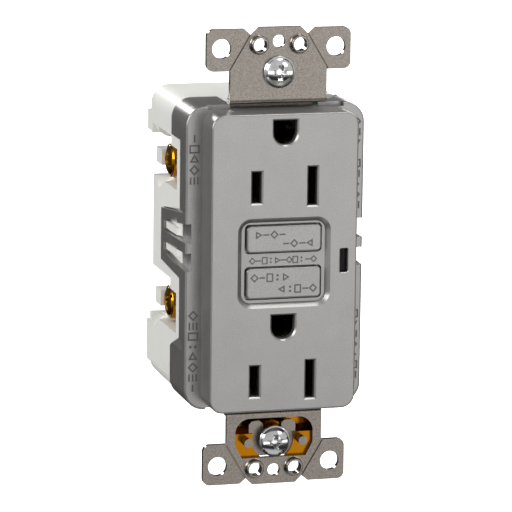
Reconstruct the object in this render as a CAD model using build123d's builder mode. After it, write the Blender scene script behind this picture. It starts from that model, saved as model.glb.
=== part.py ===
from build123d import *
import math
import os

# Ground-fault receptacle with push buttons: a duplex wall outlet that trips itself.
# Frame: +X to the right as seen from the room, the face looks along -Y, +Z up.
# The origin is halfway between the two box screws, on the back of the mounting strap.
# All sizes are in millimetres.

os.makedirs("parts", exist_ok=True)

# ---------------------------------------------------------------- driving sizes
FACE_WIDTH = 33.3            # raised face that shows through the wall plate
FACE_HEIGHT = 66.7
FACE_RADIUS = 3.0
FACE_RISE = 6.5              # face above the front of the strap
FACE_WALL = 2.2

COVER_WIDTH = 40.8           # shoulder round the face
COVER_HEIGHT = 68.4
COVER_RADIUS = 4.5
COVER_WALL = 1.7
SHOULDER_Y = 0.5             # front of the shoulder
BAND_Y = 8.3                 # rear edge of the cover between its lugs
LUG_Y = 14.0                 # rear edge of the cover at its four corners
UPPER_LUG_Z = 26.0
LOWER_LUG_Z = -19.3
LUG_SLOPE = 2.75             # the lower lugs' tops fall this much towards the back
SIDE_STEP = 0.6              # the sides between the lugs lie this much deeper
STEP_RAMP = 1.9              # height of the ramp from the deeper side to the lower lug

HOUSING_STEP = 0.6           # the housing is this much narrower on each side than the cover
HOUSING_END_STEP = 0.2       # and this much shorter at each end
HOUSING_RADIUS = 4.2
HOUSING_WALL = 1.8
HOUSING_END_Y = 36.4         # back of the top and bottom blocks
HOUSING_MID_Y = 33.2         # back of the middle
HOUSING_RIB_Y = 39.0         # back of the raised ribs

STRAP_THICK = 1.2
STRAP_LENGTH = 103.2
TAB_WIDTH = 22.0
EAR_WIDTH = 32.8
EAR_LOW = 42.0               # inner edge of the plaster ears, from the centre
EAR_HIGH = 51.3
EAR_RADIUS = 1.6
BEND_Z = 35.75               # outer face of the strap's 90 degree bend
STRAP_PLATE_Y = 5.0          # front of the strap's inner plate
NECK_WIDTH = 19.2
SPINE_WIDTH = 9.2

BOX_SCREW_SPACING = 83.34
PLATE_SCREW_SPACING = 96.84
EAR_HOLE_X = 26.0
EAR_HOLE_Z = 94.0
EAR_HOLE_D = 4.3
PLATE_HOLE_D = 2.8
COLLAR_X = 9.1
COLLAR_Z = 95.6
COLLAR_D = 3.9
COLLAR_BORE = 3.0
COLLAR_RISE = 1.4
COLLAR_FLARE = 0.4
COLLAR_EDGE = 0.25

SLOT_X = 6.35                # half of the spacing between the blade slots
UPPER_SLOT_Z = 17.1
OUTLET_PITCH = 43.5
GROUND_RISE = 12.0           # ground hole above the blade slots
HOT_SLOT = (2.2, 7.0)
NEUTRAL_SLOT = (2.1, 8.6)
GROUND_HOLE_D = 5.4
GROUND_CONTACT_R = 2.95
SLOT_BEVEL = 0.35

RECESS_WIDTH = 21.2
RECESS_HEIGHT = 20.2
RECESS_Z = 0.2
RECESS_DEPTH = 1.0
RECESS_SLOPE = 1.1
RECESS_RADIUS = 3.2
BUTTON_WIDTH = 16.9
TEST_HEIGHT = 5.9
TEST_Z = 5.5
RESET_HEIGHT = 6.8
RESET_Z = -4.4
BUTTON_GAP = 0.35
RESET_TRAVEL = 1.8

LAMP_X = 13.7
LAMP_Z = 0.15
LAMP_SLOT = (1.85, 5.4)
LAMP_RADIUS = 0.35
LAMP_BEVEL = 0.15
LAMP_SINK = 1.3              # the light pipe ends this far below the face

TERMINAL_Y = 23.6            # terminal screws
UPPER_TERMINAL_Z = 18.4
LOWER_TERMINAL_Z = -14.3
BAY_HALF = 4.65              # half of the height of a screw bay
BAY_FRONT_Y = 11.0
BAY_DEPTH = 4.8              # from the side of the housing in to the terminal plate
HEAD_INSET = 0.6             # the screw heads lie this much inside the side of the housing
TERMINAL_HEAD_D = 7.7
TERMINAL_HEAD_THICK = 2.2
TERMINAL_THREAD_D = 4.17
TERMINAL_PLATE = 1.2
CLAMP_PLATE = 1.3

BOARD_Y = 15.0
BOARD_THICK = 1.6
PLUNGER_TRAVEL = 1.5

FIT = 0.05                   # clearance between fixed pieces that nest
RUN = 0.15                   # clearance round a piece that slides
THREAD_FIT = 0.04            # clearance of a thread in its tapped hole

# ---------------------------------------------------------------- derived places
FACE_Y = -STRAP_THICK - FACE_RISE
COVER_INNER_W = COVER_WIDTH - 2 * COVER_WALL
COVER_INNER_H = COVER_HEIGHT - 2 * COVER_WALL
FACE_INNER_W = FACE_WIDTH - 2 * COVER_WALL
FACE_INNER_H = FACE_HEIGHT - 2 * COVER_WALL
FACE_BACK_Y = FACE_Y + FACE_WALL
SHOULDER_BACK_Y = SHOULDER_Y + COVER_WALL
RECESS_FLOOR_Y = FACE_Y + RECESS_DEPTH
RECESS_BACK_Y = RECESS_FLOOR_Y + FACE_WALL - 0.6
LOWER_SLOT_Z = UPPER_SLOT_Z - OUTLET_PITCH
SLOT_ZS = {"upper": UPPER_SLOT_Z, "lower": LOWER_SLOT_Z}
HOUSING_WIDTH = COVER_WIDTH - 2 * HOUSING_STEP
HOUSING_HEIGHT = COVER_HEIGHT - 2 * HOUSING_END_STEP
HOUSING_HALF_W = HOUSING_WIDTH / 2
HOUSING_HALF_H = HOUSING_HEIGHT / 2
BAY_FLOOR_X = HOUSING_HALF_W - BAY_DEPTH
HEAD_FACE_X = HOUSING_HALF_W - HEAD_INSET
COVER_HALF_W = COVER_WIDTH / 2
COVER_HALF_H = COVER_HEIGHT / 2
NOTCH_HALF = NECK_WIDTH / 2 + 0.45
TERMINAL_ZS = {"line": UPPER_TERMINAL_Z, "load": LOWER_TERMINAL_Z}
SIDES = {"hot": -1, "neutral": 1}
BOARD_BACK_Y = BOARD_Y + BOARD_THICK


# ---------------------------------------------------------------- shared shapes
def at_y(y):
    """The plane across the outlet at depth y; extruding from it goes to the front."""
    return Plane.XZ.offset(-y)


def block(x0, x1, y0, y1, z0, z1, mode=Mode.ADD):
    with Locations(((x0 + x1) / 2, (y0 + y1) / 2, (z0 + z1) / 2)):
        Box(abs(x1 - x0), abs(y1 - y0), abs(z1 - z0), mode=mode)


def side_block(side, x0, x1, y0, y1, z0, z1, mode=Mode.ADD):
    """A block given by its distances from the middle plane, on one side of it."""
    block(side * x0, side * x1, y0, y1, z0, z1, mode=mode)


def rod_y(x, z, radius, y0, y1, mode=Mode.ADD):
    with Locations((x, (y0 + y1) / 2, z)):
        Cylinder(radius, abs(y1 - y0), rotation=(90, 0, 0), mode=mode)


def rod_x(y, z, radius, x0, x1, mode=Mode.ADD):
    with Locations(((x0 + x1) / 2, y, z)):
        Cylinder(radius, abs(x1 - x0), rotation=(0, 90, 0), mode=mode)


def rod_z(x, y, radius, z0, z1, mode=Mode.ADD):
    with Locations((x, y, (z0 + z1) / 2)):
        Cylinder(radius, abs(z1 - z0), mode=mode)


def plate_y(width, height, radius, y0, y1, z=0, mode=Mode.ADD):
    """A rounded rectangle from depth y0 back to depth y1."""
    with BuildSketch(at_y(y1)) as profile:
        with Locations((0, z)):
            RectangleRounded(width, height, radius)
    extrude(profile.sketch, amount=y1 - y0, mode=mode)


def prism_x(points, x0, x1, mode=Mode.ADD):
    """An outline of (y, z) points carried from x0 to x1."""
    with BuildSketch(Plane.YZ.offset(min(x0, x1))) as profile:
        with BuildLine():
            Polyline(*points, close=True)
        make_face()
    extrude(profile.sketch, amount=abs(x1 - x0), mode=mode)


def prism_z(points, z0, z1, mode=Mode.ADD):
    """An outline of (x, y) points carried from z0 to z1."""
    with BuildSketch(Plane.XY.offset(min(z0, z1))) as profile:
        with BuildLine():
            Polyline(*points, close=True)
        make_face()
    extrude(profile.sketch, amount=abs(z1 - z0), mode=mode)


def prism_y(points, y0, y1, mode=Mode.ADD):
    """An outline of (x, z) points carried from depth y0 back to depth y1."""
    with BuildSketch(at_y(y1)) as profile:
        with BuildLine():
            Polyline(*points, close=True)
        make_face()
    extrude(profile.sketch, amount=y1 - y0, mode=mode)


def finish(builder, name):
    builder.part.label = name
    export_step(builder.part, f"parts/{name}.step")


# ---------------------------------------------------------------- front cover
ARM_REAR_Y = 23.1
ARM_THICK = 1.5
ARM_ROOT_Y = SHOULDER_Y + 2.7
ARM_OUTLINE = [(ARM_ROOT_Y, 10.1), (ARM_REAR_Y, 7.8), (ARM_REAR_Y, -4.1), (BAND_Y, -5.0), (ARM_ROOT_Y, -5.3)]
WINDOW_REAR_Y = 20.6
WINDOWS = [  # each window's outline, a slot that starts at the front of the shoulder
    [(SHOULDER_Y - 1, 8.1), (WINDOW_REAR_Y, 5.4), (WINDOW_REAR_Y, 2.9), (SHOULDER_Y - 1, 3.7)],
    [(SHOULDER_Y - 1, 1.4), (WINDOW_REAR_Y, 0.5), (WINDOW_REAR_Y, -1.9), (SHOULDER_Y - 1, -2.7)],
]
WINDOW_DEPTH = 1.35
SHOULDER_NOTCH_HALF = 15.5
SHOULDER_NOTCH_DEPTH = 1.8
GROUND_BAY = [(NOTCH_HALF, BAND_Y - 5.3), (COVER_HALF_W - 7.2, BAND_Y - 2.7),
              (COVER_HALF_W - 3.1, LUG_Y - 3.0),
              (COVER_HALF_W - 3.1, LUG_Y + 1), (0, LUG_Y + 1)]
SCREW_BOSS_X = COVER_HALF_W - 4.4
SCREW_BOSSES = [(x, z) for x in (-SCREW_BOSS_X, SCREW_BOSS_X) for z in (LOWER_LUG_Z - 3.2, UPPER_LUG_Z - 0.6)]
SCREW_BOSS_D = 3.6
SCREW_PILOT_D = 1.9
SCREW_SHANK_D = 2.2
SCREW_HEAD_D = 3.8
SCREW_SINK = 3.0                     # the heads sit this deep in the back
BOSS_END_Y = LUG_Y - 2.0


def bevelled_hole(hole, mouth, bevel):
    """Cut a hole through the face whose mouth widens from one outline to another."""
    extrude(hole, amount=FACE_WALL + 1, mode=Mode.SUBTRACT)
    rim = hole.moved(Location((0, FACE_Y + bevel - FACE_BACK_Y, 0)))
    loft([rim, mouth.moved(Location((0, FACE_Y - 0.01 - FACE_BACK_Y, 0)))], mode=Mode.SUBTRACT)


def blade_slot(x, z, size):
    with BuildSketch(at_y(FACE_BACK_Y)) as hole:
        with Locations((x, z)):
            Rectangle(*size)
    with BuildSketch(at_y(FACE_BACK_Y)) as mouth:
        with Locations((x, z)):
            Rectangle(size[0] + 2 * SLOT_BEVEL, size[1] + 2 * SLOT_BEVEL)
    bevelled_hole(hole.sketch, mouth.sketch, SLOT_BEVEL)


def ground_outline(z, extra):
    """A round hole with a flat top, larger all round by extra."""
    radius = GROUND_HOLE_D / 2 + extra
    top = z + GROUND_HOLE_D / 2 + 0.1 + extra
    with BuildSketch(at_y(FACE_BACK_Y)) as outline:
        with BuildLine():
            Polyline((-radius, z), (-radius, top), (radius, top), (radius, z))
            ThreePointArc((radius, z), (0, z - radius), (-radius, z))
        make_face()
    return outline.sketch


with BuildPart() as front_cover:
    plate_y(COVER_WIDTH, COVER_HEIGHT, COVER_RADIUS, SHOULDER_Y, LUG_Y)
    shoulder_edge = front_cover.faces().sort_by(Axis.Y)[0].edges()
    fillet(shoulder_edge, 0.5)
    # between the lugs the skirt ends early, and its sides lie a step deeper
    block(-COVER_WIDTH, COVER_WIDTH, BAND_Y, LUG_Y + 1, LOWER_LUG_Z, UPPER_LUG_Z, mode=Mode.SUBTRACT)
    for side in SIDES.values():
        side_block(side, COVER_HALF_W - SIDE_STEP, COVER_HALF_W + 1, ARM_ROOT_Y, LUG_Y, LOWER_LUG_Z,
                   UPPER_LUG_Z,
                   mode=Mode.SUBTRACT)
        prism_x([(BAND_Y, LOWER_LUG_Z + 0.1), (LUG_Y, LOWER_LUG_Z + 0.1), (LUG_Y + 1, LOWER_LUG_Z + 0.1),
                 (LUG_Y + 1, LOWER_LUG_Z - LUG_SLOPE), (LUG_Y, LOWER_LUG_Z - LUG_SLOPE),
                 (BAND_Y, LOWER_LUG_Z)],
                side * (COVER_HALF_W + 1), side * (COVER_HALF_W - 3.0), mode=Mode.SUBTRACT)
        # ramp from the deeper side out to the lower lug
        ramp = [(COVER_HALF_W - SIDE_STEP, LOWER_LUG_Z + 0.1), (COVER_HALF_W - SIDE_STEP, LOWER_LUG_Z),
                (COVER_HALF_W, LOWER_LUG_Z - STEP_RAMP), (COVER_HALF_W + 1, LOWER_LUG_Z - STEP_RAMP),
                (COVER_HALF_W + 1, LOWER_LUG_Z + 0.1)]
        prism_y([(side * x, z) for x, z in ramp], ARM_ROOT_Y, LUG_Y + 1, mode=Mode.SUBTRACT)
    # raised face
    plate_y(FACE_WIDTH, FACE_HEIGHT, FACE_RADIUS, FACE_Y, SHOULDER_Y + 0.5)
    fillet(front_cover.faces().sort_by(Axis.Y)[0].edges(), 0.4)
    # hollow of the skirt and of the face
    plate_y(COVER_INNER_W, COVER_INNER_H, COVER_RADIUS - COVER_WALL, SHOULDER_BACK_Y, LUG_Y + 1,
            mode=Mode.SUBTRACT)
    plate_y(FACE_INNER_W, FACE_INNER_H, FACE_RADIUS - COVER_WALL, FACE_BACK_Y, SHOULDER_BACK_Y + 1,
            mode=Mode.SUBTRACT)
    # latch arms with their windows
    for side in SIDES.values():
        prism_x(ARM_OUTLINE, side * COVER_HALF_W, side * (COVER_HALF_W - ARM_THICK))
        for outline in WINDOWS:
            prism_x(outline, side * (COVER_HALF_W + 1), side * (COVER_HALF_W - WINDOW_DEPTH),
                    mode=Mode.SUBTRACT)
            through = [(max(y, BAND_Y), z) for y, z in outline]
            prism_x(through, side * (COVER_HALF_W + 1), side * (COVER_HALF_W - ARM_THICK - 1),
                    mode=Mode.SUBTRACT)
    # shoulder set back where the strap passes, and the openings in the end walls behind it
    for end in (1, -1):
        block(-SHOULDER_NOTCH_HALF, SHOULDER_NOTCH_HALF, SHOULDER_Y - 1, SHOULDER_Y + SHOULDER_NOTCH_DEPTH,
              end * (FACE_HEIGHT / 2 + 0.02), end * (COVER_HALF_H + 1), mode=Mode.SUBTRACT)
        block(-NOTCH_HALF, NOTCH_HALF, SHOULDER_Y + SHOULDER_NOTCH_DEPTH, LUG_Y + 1,
              end * (COVER_INNER_H / 2 - 0.5), end * (COVER_HALF_H + 1), mode=Mode.SUBTRACT)
    # room for the ground screw: a slanted cut in the top wall and a window in the right side
    prism_z(GROUND_BAY, COVER_INNER_H / 2 - 0.5, COVER_HALF_H + 1, mode=Mode.SUBTRACT)
    block(COVER_INNER_W / 2 - 0.5, COVER_HALF_W + 1, STRAP_PLATE_Y + STRAP_THICK, LUG_Y + 1,
          UPPER_LUG_Z + 0.5, COVER_INNER_H / 2 - 1.2, mode=Mode.SUBTRACT)
    # blade and ground openings
    for slot_z in SLOT_ZS.values():
        blade_slot(-SLOT_X, slot_z, HOT_SLOT)
        blade_slot(SLOT_X, slot_z, NEUTRAL_SLOT)
        bevelled_hole(ground_outline(slot_z + GROUND_RISE, 0),
                      ground_outline(slot_z + GROUND_RISE, SLOT_BEVEL),
                      SLOT_BEVEL)
    # the upper ground contact comes close to the end wall of the face
    rod_y(0, UPPER_SLOT_Z + GROUND_RISE, GROUND_CONTACT_R + 0.3, FACE_BACK_Y, SHOULDER_BACK_Y + 0.5,
          mode=Mode.SUBTRACT)
    # floor of the button recess, then the recess with its sloped wall
    plate_y(RECESS_WIDTH + 2.4, RECESS_HEIGHT + 2.4, RECESS_RADIUS, FACE_BACK_Y - 0.1, RECESS_BACK_Y,
            z=RECESS_Z)
    with BuildSketch(at_y(RECESS_FLOOR_Y)) as recess_floor:
        with Locations((0, RECESS_Z)):
            RectangleRounded(RECESS_WIDTH - 2 * RECESS_SLOPE, RECESS_HEIGHT - 2 * RECESS_SLOPE,
                             RECESS_RADIUS - RECESS_SLOPE)
    with BuildSketch(at_y(FACE_Y - 0.01)) as recess_mouth:
        with Locations((0, RECESS_Z)):
            RectangleRounded(RECESS_WIDTH, RECESS_HEIGHT, RECESS_RADIUS)
    loft([recess_floor.sketch, recess_mouth.sketch], mode=Mode.SUBTRACT)
    for button_z, button_height in ((TEST_Z, TEST_HEIGHT), (RESET_Z, RESET_HEIGHT)):
        plate_y(BUTTON_WIDTH + 2 * BUTTON_GAP, button_height + 2 * BUTTON_GAP, 1.0, FACE_Y,
                RECESS_BACK_Y + 0.1,
                z=button_z, mode=Mode.SUBTRACT)
    # lamp window
    with BuildSketch(at_y(FACE_BACK_Y)) as lamp_window:
        with Locations((LAMP_X, LAMP_Z)):
            RectangleRounded(*LAMP_SLOT, LAMP_RADIUS)
    with BuildSketch(at_y(FACE_BACK_Y)) as lamp_mouth:
        with Locations((LAMP_X, LAMP_Z)):
            RectangleRounded(LAMP_SLOT[0] + 2 * LAMP_BEVEL, LAMP_SLOT[1] + 2 * LAMP_BEVEL,
                             LAMP_RADIUS + LAMP_BEVEL)
    bevelled_hole(lamp_window.sketch, lamp_mouth.sketch, LAMP_BEVEL)
    # bosses that take the housing screws
    for boss_x, boss_z in SCREW_BOSSES:
        rod_y(boss_x, boss_z, SCREW_BOSS_D / 2, SHOULDER_BACK_Y - 0.5, BOSS_END_Y)
        rod_y(boss_x, boss_z, SCREW_PILOT_D / 2, SHOULDER_BACK_Y + 0.8, LUG_Y, mode=Mode.SUBTRACT)
finish(front_cover, "front_cover")


# ---------------------------------------------------------------- rear housing
HOOK_RAMP_Y = 11.5
TONGUE_FRONT_Y = STRAP_PLATE_Y + STRAP_THICK + 0.2
BAY_WALL = 1.4
BAY_INNER_X = BAY_FLOOR_X - TERMINAL_PLATE - BAY_WALL
DIVIDER = (TERMINAL_Y + TERMINAL_HEAD_D / 2 + 0.25, HOUSING_MID_Y - 0.3, 1.8)  # front, back, half height
FUNNEL_Y = (16.6, 34.2)              # the upper edge of each bay is flared between these depths
FUNNEL_RISE = 2.3
FUNNEL_INNER_X = HOUSING_HALF_W - 3.2
GUIDES = {"upper": (22.7, 28.1, 30.3, 2.5), "lower": (26.8, 32.9, 33.1, 3.0)}  # peak, valley, end, depth
UPPER_RIB = (23.3, 27.9)
LOWER_RIB = (-30.7, -21.3)
RIB_THICK = 3.4
LEG_Y = (17.0, 18.2)                 # terminal legs pass through the bay walls here
LEG_HALF = 1.5
ARM_POCKET_X = COVER_HALF_W - ARM_THICK - FIT


def screw_bay(side, centre_z):
    """One screw bay: a walled pocket in the side, open outwards and to the back."""
    low, high = centre_z - BAY_HALF, centre_z + BAY_HALF
    side_block(side, BAY_INNER_X, HOUSING_HALF_W, BAND_Y, HOUSING_MID_Y, low - BAY_WALL, high + BAY_WALL)
    side_block(side, BAY_FLOOR_X, COVER_HALF_W, BAY_FRONT_Y, HOUSING_RIB_Y, low, high, mode=Mode.SUBTRACT)
    # seat of the terminal plate, hole for the screw's end and slot for the plate's leg
    side_block(side, BAY_FLOOR_X - TERMINAL_PLATE - FIT, COVER_HALF_W, TERMINAL_Y - 7.0, HOUSING_RIB_Y,
               low + 0.1, high - 0.1, mode=Mode.SUBTRACT)
    rod_x(TERMINAL_Y, centre_z, 2.5, side * (BAY_INNER_X - 1), side * BAY_FLOOR_X, mode=Mode.SUBTRACT)
    side_block(side, BAY_INNER_X - 1, BAY_FLOOR_X, BAND_Y - 1, LEG_Y[1] + FIT,
               centre_z - LEG_HALF - FIT, centre_z + LEG_HALF + FIT, mode=Mode.SUBTRACT)
    # rib between the two wire entries
    front, back, half = DIVIDER
    side_block(side, BAY_INNER_X, HEAD_FACE_X, front, back, centre_z - half, centre_z + half)
    # the upper edge flares outwards, and a sloped wire guide is cut in the lower edge
    peak, valley, end, depth = GUIDES["upper" if centre_z > 0 else "lower"]
    funnel = [(FUNNEL_Y[0], high - 0.1), (FUNNEL_Y[0], high + FUNNEL_RISE), (FUNNEL_Y[1], high + FUNNEL_RISE),
              (FUNNEL_Y[1], high - 0.1)]
    guide = [(peak, low + 0.1), (peak, low), (valley, low - depth), (end, low - 0.05), (end, low + 0.1)]
    for outline, edge in ((funnel, high), (guide, low)):
        with BuildSketch(Plane.YZ.offset(side * (HOUSING_HALF_W + 0.01))) as mouth:
            with BuildLine():
                Polyline(*outline, close=True)
            make_face()
        with BuildSketch(Plane.YZ.offset(side * FUNNEL_INNER_X)) as root:
            with BuildLine():
                Polyline(*[(y, edge + (z - edge) * 0.04) for y, z in outline], close=True)
            make_face()
        loft([mouth.sketch, root.sketch], mode=Mode.SUBTRACT)


with BuildPart() as rear_housing:
    plate_y(HOUSING_WIDTH, HOUSING_HEIGHT, HOUSING_RADIUS, BAND_Y, HOUSING_END_Y)
    fillet(rear_housing.faces().sort_by(Axis.Y)[-1].edges(), 0.8)
    bay_low = LOWER_TERMINAL_Z - BAY_HALF
    bay_high = UPPER_TERMINAL_Z + BAY_HALF
    block(-HOUSING_WIDTH, HOUSING_WIDTH, HOUSING_MID_Y, HOUSING_RIB_Y, bay_low, bay_high, mode=Mode.SUBTRACT)
    # hollow
    plate_y(HOUSING_WIDTH - 2 * HOUSING_WALL, HOUSING_HEIGHT - 2 * HOUSING_WALL,
            HOUSING_RADIUS - HOUSING_WALL,
            BAND_Y - 1, HOUSING_MID_Y - HOUSING_WALL, mode=Mode.SUBTRACT)
    for low, high in ((bay_high + BAY_WALL, HOUSING_HALF_H - HOUSING_WALL),
                      (-HOUSING_HALF_H + HOUSING_WALL, bay_low - BAY_WALL)):
        block(-HOUSING_HALF_W + HOUSING_WALL, HOUSING_HALF_W - HOUSING_WALL,
              HOUSING_MID_Y - HOUSING_WALL - 0.1,
              HOUSING_END_Y - HOUSING_WALL, low, high, mode=Mode.SUBTRACT)
    for side in SIDES.values():
        for terminal_z in TERMINAL_ZS.values():
            screw_bay(side, terminal_z)
    # room for the lugs of the cover
    block(-COVER_WIDTH, COVER_WIDTH, BAND_Y - 1, LUG_Y, UPPER_LUG_Z, COVER_HEIGHT, mode=Mode.SUBTRACT)
    prism_x([(BAND_Y - 1, LOWER_LUG_Z + 0.1), (BAND_Y, LOWER_LUG_Z + 0.1),
             (LUG_Y, LOWER_LUG_Z - LUG_SLOPE + 0.1),
             (LUG_Y, -COVER_HEIGHT), (BAND_Y - 1, -COVER_HEIGHT)], -COVER_WIDTH, COVER_WIDTH,
             mode=Mode.SUBTRACT)
    for side in SIDES.values():
        # raised ribs on the back, chamfered at their outer ends
        for low, high in (UPPER_RIB, LOWER_RIB):
            block(side * (HOUSING_HALF_W - RIB_THICK), side * HOUSING_HALF_W, HOUSING_END_Y - 1.5,
                  HOUSING_RIB_Y,
                  low, high)
        # pocket for the latch arm, and the hooks that snap into its windows
        arm_pocket = [(BAND_Y - 1, 10.3), (ARM_REAR_Y + 0.15, 7.95), (ARM_REAR_Y + 0.15, -4.3),
                      (BAND_Y - 1, -5.2)]
        prism_x(arm_pocket, side * ARM_POCKET_X, side * COVER_HALF_W, mode=Mode.SUBTRACT)
        for outline in WINDOWS:
            top, bottom = outline[1][1] - 0.25, outline[2][1] + 0.6
            hook = [(ARM_POCKET_X - 0.5, WINDOW_REAR_Y - 0.3), (ARM_POCKET_X + 1.0, WINDOW_REAR_Y - 0.3),
                    (ARM_POCKET_X + 0.7, HOOK_RAMP_Y), (ARM_POCKET_X - 0.5, HOOK_RAMP_Y - 1.5)]
            prism_z([(side * x, y) for x, y in hook], bottom, top)
    # tongues that fill the gap behind the strap's neck at both ends
    for end in (1, -1):
        block(-NOTCH_HALF + 0.1, NOTCH_HALF - 0.1, TONGUE_FRONT_Y, LUG_Y + 1,
              end * (HOUSING_HALF_H - HOUSING_WALL + 0.2), end * HOUSING_HALF_H)
    # pillars for the four housing screws, sunk from the back
    for boss_x, boss_z in SCREW_BOSSES:
        rod_y(boss_x, boss_z, SCREW_BOSS_D / 2, BOSS_END_Y, HOUSING_END_Y - 0.5)
        rod_y(boss_x, boss_z, SCREW_HEAD_D / 2 + RUN + 1.0, HOUSING_END_Y - SCREW_SINK - 1.6,
              HOUSING_END_Y - 0.5)
        rod_y(boss_x, boss_z, SCREW_BOSS_D / 2 + FIT, BAND_Y - 1, BOSS_END_Y + FIT, mode=Mode.SUBTRACT)
        rod_y(boss_x, boss_z, SCREW_SHANK_D / 2 + RUN, BAND_Y, HOUSING_RIB_Y + 1, mode=Mode.SUBTRACT)
        rod_y(boss_x, boss_z, SCREW_HEAD_D / 2 + RUN, HOUSING_END_Y - SCREW_SINK, HOUSING_RIB_Y + 1,
              mode=Mode.SUBTRACT)
finish(rear_housing, "rear_housing")

with BuildPart() as housing_screws:
    for boss_x, boss_z in SCREW_BOSSES:
        rod_y(boss_x, boss_z, SCREW_SHANK_D / 2, BOSS_END_Y, HOUSING_END_Y - SCREW_SINK)
        rod_y(boss_x, boss_z, SCREW_PILOT_D / 2, SHOULDER_BACK_Y + 2.0, BOSS_END_Y)
        rod_y(boss_x, boss_z, SCREW_HEAD_D / 2, HOUSING_END_Y - SCREW_SINK, HOUSING_END_Y - 1.2)
        with Locations((boss_x, HOUSING_END_Y - 1.2, boss_z)):
            Box(2.6, 1.4, 0.6, mode=Mode.SUBTRACT)
            Box(0.6, 1.4, 2.6, mode=Mode.SUBTRACT)
finish(housing_screws, "housing_screws")


# ---------------------------------------------------------------- mounting strap
TAB_TOP = STRAP_LENGTH / 2
TAB_TOP_HALF = 5.0
NOTCH_APEX = (6.5, 50.1)
EAR_TOP_START = 7.9
SCORE_END_X = 11.3
SCORE_WIDTH = 0.35
SCORE_DEPTH = 0.5
WINDOW_TOP = 36.4
WINDOW_LOW = 45.5
WINDOW_HALF = 9.0
WINDOW_LOW_HALF = 7.4
WINDOW_CORNER_Z = 42.5
SCREW_SLOT_D = 4.4
SPINE_GAP = (3.2, 9.5)               # half width and half height of the opening round the reset pin
LUG_X = 11.4
GROUND_SCREW_Y = 10.8
GROUND_SCREW_Z = 31.0
GROUND_HEAD_D = 6.2
GROUND_WASHER_GAP = 0.4


def strap_tab(end):
    """The flat end of the strap: a middle tab and two plaster ears on scored lines."""
    half_ear = EAR_WIDTH / 2
    outline = [(-TAB_WIDTH / 2, BEND_Z - 0.6), (-TAB_WIDTH / 2, EAR_LOW), (-half_ear, EAR_LOW),
               (-half_ear, EAR_HIGH),
               (-EAR_TOP_START, EAR_HIGH), (-NOTCH_APEX[0], NOTCH_APEX[1]), (-TAB_TOP_HALF, TAB_TOP)]
    outline += [(-x, z) for x, z in reversed(outline)]
    with BuildSketch(at_y(0)) as tab:
        with BuildLine():
            Polyline(*[(x, end * z) for x, z in outline], close=True)
        make_face()
        corners = [v for v in tab.vertices() if abs(v.X) > half_ear - 0.1]
        fillet(corners, EAR_RADIUS)
    extrude(tab.sketch, amount=STRAP_THICK)


def drawn_collar(x, z):
    """A collar drawn up out of the sheet: flared at its root, rounded at its rim."""
    outer, top, foot = COLLAR_D / 2, -STRAP_THICK - COLLAR_RISE, -STRAP_THICK
    with BuildSketch(Plane(origin=(x, 0, z), x_dir=(1, 0, 0), z_dir=(0, 0, 1))) as wall:
        with BuildLine():
            Polyline((outer + COLLAR_FLARE, foot), (outer + COLLAR_FLARE, foot + 0.3),
                     (COLLAR_BORE / 2, foot + 0.3),
                     (COLLAR_BORE / 2, top), (outer - COLLAR_EDGE, top))
            ThreePointArc((outer - COLLAR_EDGE, top), (outer - 0.3 * COLLAR_EDGE, top + 0.3 * COLLAR_EDGE),
                          (outer, top + COLLAR_EDGE))
            Line((outer, top + COLLAR_EDGE), (outer, foot - COLLAR_FLARE))
            ThreePointArc((outer, foot - COLLAR_FLARE),
                          (outer + 0.3 * COLLAR_FLARE, foot - 0.3 * COLLAR_FLARE),
                          (outer + COLLAR_FLARE, foot))
        make_face()
    revolve(wall.sketch, axis=Axis((x, 0, z), (0, 1, 0)))


def tab_holes(end, screw_hole):
    for x in (-EAR_HOLE_X / 2, EAR_HOLE_X / 2):
        rod_y(x, end * EAR_HOLE_Z / 2, EAR_HOLE_D / 2, -STRAP_THICK - 1, 1, mode=Mode.SUBTRACT)
    for x in (-COLLAR_X / 2, COLLAR_X / 2):
        drawn_collar(x, end * COLLAR_Z / 2)
        rod_y(x, end * COLLAR_Z / 2, COLLAR_BORE / 2, -STRAP_THICK - COLLAR_RISE - 1, 1, mode=Mode.SUBTRACT)
    rod_y(0, end * PLATE_SCREW_SPACING / 2, PLATE_HOLE_D / 2, -STRAP_THICK - 1, 1, mode=Mode.SUBTRACT)
    if screw_hole:
        with BuildSketch(at_y(1)) as slot:
            with Locations((0, end * BOX_SCREW_SPACING / 2)):
                SlotCenterToCenter(1.2, SCREW_SLOT_D)
        extrude(slot.sketch, amount=STRAP_THICK + 2, mode=Mode.SUBTRACT)
    # scored lines that let the ears snap off
    for side in (-1, 1):
        (x0, z0), (x1, z1) = (NOTCH_APEX[0], NOTCH_APEX[1]), (SCORE_END_X, EAR_LOW)
        length = math.hypot(x1 - x0, z1 - z0)
        angle = math.degrees(math.atan2(end * (z1 - z0), side * (x1 - x0)))
        with BuildSketch(at_y(-STRAP_THICK + SCORE_DEPTH)) as score:
            with Locations(Location((side * (x0 + x1) / 2, end * (z0 + z1) / 2, 0), (0, 0, angle))):
                Rectangle(length - 0.4, SCORE_WIDTH)
        extrude(score.sketch, amount=SCORE_DEPTH + 0.1, mode=Mode.SUBTRACT)


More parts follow.
